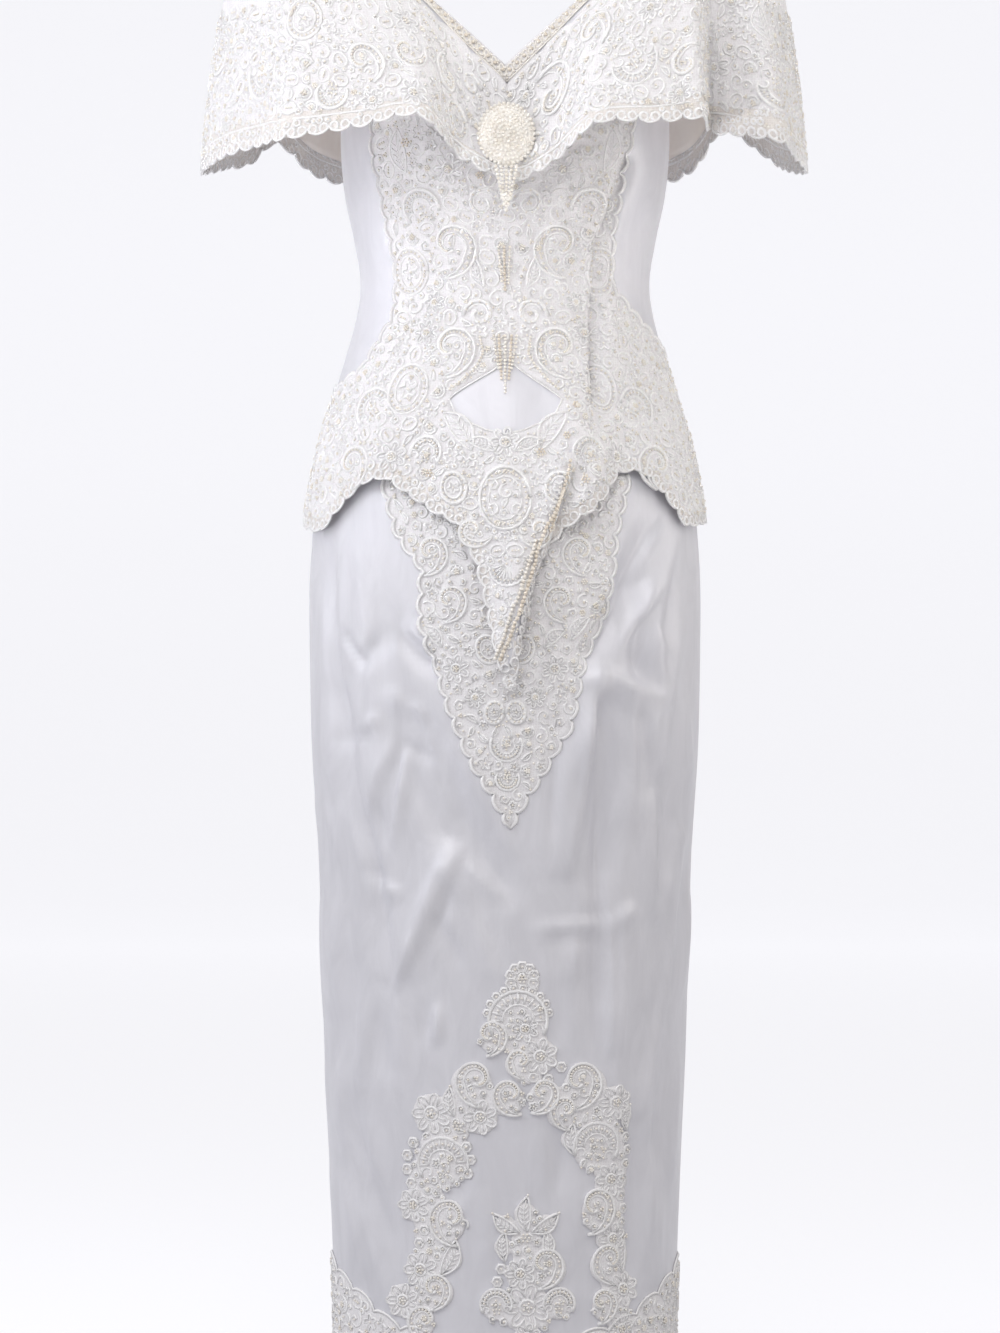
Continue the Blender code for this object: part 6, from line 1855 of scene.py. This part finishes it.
@dataclass
class Collar:
    """The satin cape collar, its lace and its beaded neck edging."""

    surface: CollarSurface
    finishes: Finishes
    satin_reach: float = 0.935
    cord_reach: float = 0.955
    hem_scallops: tuple[float, float, float] = (0.0195, 0.0062, 0.0041)
    top_scallops: tuple[float, float] = (0.040, 0.0070)
    edging_width: float = 0.0148
    ring_pitch: float = 0.0088
    edge_bead_side: float = 0.0048      # how far the small beads lie from the edging's middle

    def build(self) -> None:
        """Build the satin, the lace and the edging."""
        steps = {"column_step": 1.25, "row_step": 0.028, "metres_per_degree": 0.0030}
        satin = SatinWork(self.surface, self.finishes, **steps)
        for side, first, last in (("left", 0, 180), ("right", -180, 0)):
            panel = Panel("collar_" + side, first, last, Cut(0.70, 0.36, 0.1255, "draped", ("bodice_front",)))
            satin.lay(panel, level_edge(0.0), level_edge(self.satin_reach))
            self.lace(side, first, last)
            self.edging(side, first, last)

    def lace(self, side: str, first: float, last: float) -> None:
        """Work the lace of one half."""
        turns = np.linspace(first, last, 61)
        hem = Scallops.along(self.surface, [(turn, 1.0) for turn in turns], *self.hem_scallops)
        tops = np.linspace(last, first, 37)
        top_path = list(zip(tops, along(np.abs(tops), COLLAR_LACE_TOP)))
        top = Scallops.along(self.surface, top_path, *self.top_scallops)
        loops = [np.concatenate([hem.line, top.line])]
        work = Needlework(self.surface, seed=61 if side == "left" else 67)
        edge_band(work, hem, ring=0.0036)
        work.line(np.column_stack([turns, np.full(61, self.cord_reach)]), MEDIUM, NET_MIDDLE)
        work.motifs(self.motifs(side))

        def largest(turn: Array, level: Array) -> Array:
            """Return the largest small motif at each place."""
            size = np.where(np.abs(turn) > 95, 0.0098, 0.0076)
            return np.where(level < along(np.abs(turn), COLLAR_BARE), 0.0, size)

        work.fill(loops, margin=0.0024, largest=largest, smallest=0.0018)
        cut = Cut(0.72, 0.20, 0.1045, "draped", ("collar_" + side + "_satin",))
        lace = LacePiece("collar_lace_" + side, loops, work, cut, cell=0.0055, free=self.hem_free)
        lace.make(self.finishes)

    def hem_free(self, turn: Array, level: Array) -> Array:
        """Tell where the lace hangs below the collar's satin; its net is painted darker there: painted shade.
        """
        return level > self.satin_reach

    def motifs(self, side: str) -> list[Motif]:
        """Place the large motifs of one half of the collar."""
        way = 1 if side == "left" else -1
        back = []
        for k, turn in enumerate((101, 113, 127, 140, 153, 167)):
            kind = (SHELL, SCROLL, OVAL)[k % 3]
            back.append(Motif(kind, turn * way, 0.79, 0.0215, 180.0, way > 0))
            kind = (ROSETTE, LEAF)[k % 2]
            back.append(Motif(kind, (turn + 6) * way, 0.66, 0.0135, 20.0 * k))
        return [Motif(*row) for row in COLLAR_MOTIFS[side]] + back

    def edging(self, side: str, first: float, last: float) -> None:
        """Bead the neckline: a narrow braid with rings of small beads round pearls."""
        node = "neckline_edging_" + side
        turns = np.linspace(first + 0.05, last - 0.05, 61)
        per_level = self.surface.metres(turns, np.full(61, 0.03))[1]
        low = self.edging_width / per_level
        top = np.column_stack([turns, low * 0 - 0.01])
        loops = [np.concatenate([np.column_stack([turns, low]), top[::-1]])]
        work = Needlework(self.surface, seed=71)
        work.line(np.column_stack([turns, low * 0.97]), FINE, NET_TOP)
        middle = np.column_stack([turns, low * 0.5])
        length = self.surface.lengths(middle)
        count = round(length[-1] / self.ring_pitch)
        at = (np.arange(count) + 0.5) / count * length[-1]
        spots = between(at, length, middle)
        work.rings(spots, loop(0.0038, 0.0050, 8))
        work.beads(spots, 0.0019, True)
        for way in (1, -1):
            rise = np.full(count, way * self.edge_bead_side)
            work.beads(Scallops.offset(self.surface, middle, length, np.arange(count) / count, rise), 0.0012)
        cut = Cut(0.48, 0.020, 0.0089, "laid", ("collar_" + side + "_satin",))
        LacePiece(node, loops, work, cut, cell=0.0036).make(self.finishes, self.finishes.silk)


@dataclass
class Medallion:
    """The beaded oval at the middle of the collar, and its tassel."""

    finishes: Finishes
    rim_beads: int = 38
    rounds: int = 6
    pitch: float = 0.0035
    rim_reach: float = 0.97
    rim_bead: float = 0.0021
    bead: float = 0.0017
    strings: int = 5
    string_pitch: float = 0.0036
    string_bead: float = 0.0018
    tassel_width: float = 0.018
    tassel_narrowing: float = 0.62

    def build(self) -> None:
        """Build the oval and the tassel in the place of their solids."""
        low, high = (Vector(corner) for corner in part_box("medallion"))
        centre = (low + high) / 2
        half_x = (high.x - low.x) / 2
        half_z = (high.z - low.z) / 2
        work = bmesh.new()
        bmesh.ops.create_uvsphere(work, u_segments=40, v_segments=12, radius=1.0)
        for spot in work.verts:
            dome = max(spot.co.y * -1, -0.35)
            spot.co = (
                centre.x + spot.co.x * half_x * self.rim_reach,
                high.y - 0.0025 - (dome + 0.35) * 0.0050,
                centre.z + spot.co.z * half_z * self.rim_reach,
            )
        bmesh.ops.recalc_face_normals(work, faces=work.faces)
        mesh = to_mesh(work, "pad")
        smooth_mesh(mesh)
        pad = make_object("medallion_pad", mesh)
        mesh.materials.append(self.finishes.silk)
        spots = [
            (math.cos(angle) * self.rim_reach, math.sin(angle) * self.rim_reach, self.rim_bead)
            for angle in np.linspace(0, 2 * np.pi, self.rim_beads + 1)[:-1]
        ]
        for ring in range(self.rounds):
            reach = 0.84 * (1 - ring / self.rounds)
            count = round(2 * math.pi * reach * (half_x + half_z) / 2 / self.pitch)
            turns = np.linspace(0, 2 * math.pi, count + 1)[:-1] + 0.4 * ring
            spots += [(reach * math.cos(turn), reach * math.sin(turn), self.bead) for turn in turns]
        x, z, sizes = columns(spots)
        front = high.y - 0.0034 - 0.0066 * (1 - 0.80 * (x * x + z * z))
        places = np.column_stack([centre.x + x * half_x, front, centre.z + z * half_z])
        beads = string_beads("medallion_beads", places, sizes, self.finishes.pearl)
        tag(pad, "medallion")
        tag(beads, "medallion")
        LOG.info("medallion: %d beads", len(spots))
        self.tassel()

    def tassel(self) -> None:
        """String the tassel's beads."""
        low, high = (Vector(corner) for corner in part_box("medallion_tassel"))
        middle = (low + high) / 2
        spots = []
        sizes = []
        for k in range(self.strings):
            side = k / (self.strings - 1) - 0.5
            length = (high.z - low.z) * (1.0 - 0.5 * abs(side))
            count = round(length / self.string_pitch)
            for j in range(count):
                f = j / (count - 1)
                x = middle.x + side * self.tassel_width * (1 - self.tassel_narrowing * f)
                z = high.z - self.string_bead - f * (length - 2 * self.string_bead)
                spots.append((x, middle.y - 0.0006, z))
                sizes.append(self.string_bead if j < count - 1 else self.rim_bead)
        beads = string_beads("medallion_tassel_beads", np.array(spots), np.array(sizes), self.finishes.pearl)
        tag(beads, "medallion_tassel")
        LOG.info("medallion_tassel: %d beads", len(spots))


# --- the room ---


@dataclass(frozen=True)
class Lamp:
    """A soft square light, aimed at a height of the dress, with its spread in degrees."""

    name: str
    place: tuple[float, float, float]
    size: float
    watts: float
    tint: str
    aim_z: float = -0.7
    spread: float = 180.0

    def hang(self) -> None:
        """Hang the light."""
        light = bpy.data.lights.new(self.name, "AREA")
        light.shape = "SQUARE"
        light.size = self.size
        light.energy = self.watts
        light.spread = math.radians(self.spread)
        light.color = colour(self.tint)[:3]
        item = make_object(self.name, light)
        item.location = self.place
        aim = Vector((0, 0, self.aim_z)) - Vector(self.place)
        item.rotation_euler = aim.to_track_quat("-Z", "Y").to_euler()


@dataclass(frozen=True)
class Studio:
    """A pale seamless floor and backdrop, soft lights and the camera."""

    camera_place: tuple[float, float, float] = (-0.0045, -4.0, -0.699)
    lens: float = 120.0
    sensor: float = 36.0
    ambient: float = 0.58
    floor_z: float = HEM_Z - 0.0015
    floor_start: float = -3.0
    floor_length: float = 10.4
    bend_length: float = 2.4
    sweep_length: float = 14.0
    sweep_width: float = 12.0
    wall_stretch: float = 2.2

    def build(self) -> None:
        """Build the room."""
        self.backdrop()
        lamps = (
            Lamp("key", (-2.5, -1.9, 1.3), 1.4, 25.0, "#F8FAFF"),
            Lamp("front", (-0.3, -1.9, 0.6), 1.0, 10.5, "#FFFDFC", -0.85),
            Lamp("left_side", (-2.3, -0.5, 0.4), 1.6, 8.0, "#EEF2FF", -0.1),
            Lamp("right_side", (2.6, -0.7, 0.4), 1.4, 9.0, "#FFF9F2", -0.6),
            Lamp("top", (0.2, -0.9, 1.8), 1.0, 6.0, "#FFFFFF", -0.2),
            Lamp("under_left", (-1.9, -0.9, -1.0), 0.5, 0.34, "#FBFBFF", -0.27, 20.0),
            Lamp("under_right", (1.9, -0.9, -1.0), 0.5, 0.24, "#FFFAF4", -0.27, 20.0),
        )
        for lamp in lamps:
            lamp.hang()
        world = bpy.data.worlds.new("studio")
        bpy.context.scene.world = world
        world.use_nodes = True
        sky = world.node_tree.nodes["Background"]
        sky.inputs["Color"].default_value = colour("#F9F6F5")
        sky.inputs["Strength"].default_value = self.ambient
        bpy.context.scene.view_settings.view_transform = "Standard"
        camera = bpy.data.cameras.new("camera")
        camera.sensor_fit = "VERTICAL"
        camera.sensor_height = self.sensor
        camera.lens = self.lens
        item = make_object("camera", camera)
        item.location = self.camera_place
        item.rotation_euler = (math.pi / 2, 0, 0)
        bpy.context.scene.camera = item
        LOG.info("studio: %d lights", len(lamps))

    def backdrop(self) -> None:
        """Build the floor and the wall as one seamless sweep."""
        across, lengthwise = 8, 40
        mesh, column, row = grid_mesh(across, lengthwise)
        run = (1 - row / lengthwise) * self.sweep_length
        bend = np.clip((run - self.floor_length) / self.bend_length, 0, 1) * math.pi / 2
        radius = self.bend_length / (math.pi / 2)
        y = self.floor_start + np.minimum(run, self.floor_length) + radius * np.sin(bend)
        climb = np.maximum(run - (self.floor_length + self.bend_length), 0) * self.wall_stretch
        z = self.floor_z + radius * (1 - np.cos(bend)) + climb
        set_positions(mesh, np.column_stack([(column / across - 0.5) * self.sweep_width, y, z]))
        smooth_mesh(mesh)
        item = make_object("backdrop", mesh)
        material, tree = new_material("matte_white_paper")
        values = {"Base Color": colour("#C2C2C5"), "Roughness": 0.9, "Emission Color": colour("#FAFBFF")}
        place = add_node(tree, "ShaderNodeTexCoord")
        spot = add_node(tree, "ShaderNodeSeparateXYZ", links={"Vector": place.outputs["Object"]})
        span = {"From Min": 0.15, "From Max": 0.70, "To Min": 0.02, "To Max": 0.57}
        glow = add_node(tree, "ShaderNodeMapRange", span, {"Value": spot.outputs["Y"]})
        close_tree(tree, values, Emission_Strength=glow.outputs["Result"])
        mesh.materials.append(material)


def main() -> None:
    """Build the dress and the room."""
    logging.basicConfig(level=logging.INFO, format="%(message)s")
    finishes = Finishes.make()
    bodice = BodiceSurface(BODICE_SECTIONS, BODICE_CREASES)
    skirt = SkirtSurface(bodice)
    collar = CollarSurface(bodice)
    Bodice(bodice, finishes).build()
    Skirt(skirt, finishes).build()
    Collar(collar, finishes).build()
    Medallion(finishes).build()
    Studio().build()


if __name__ == "__main__":
    main()
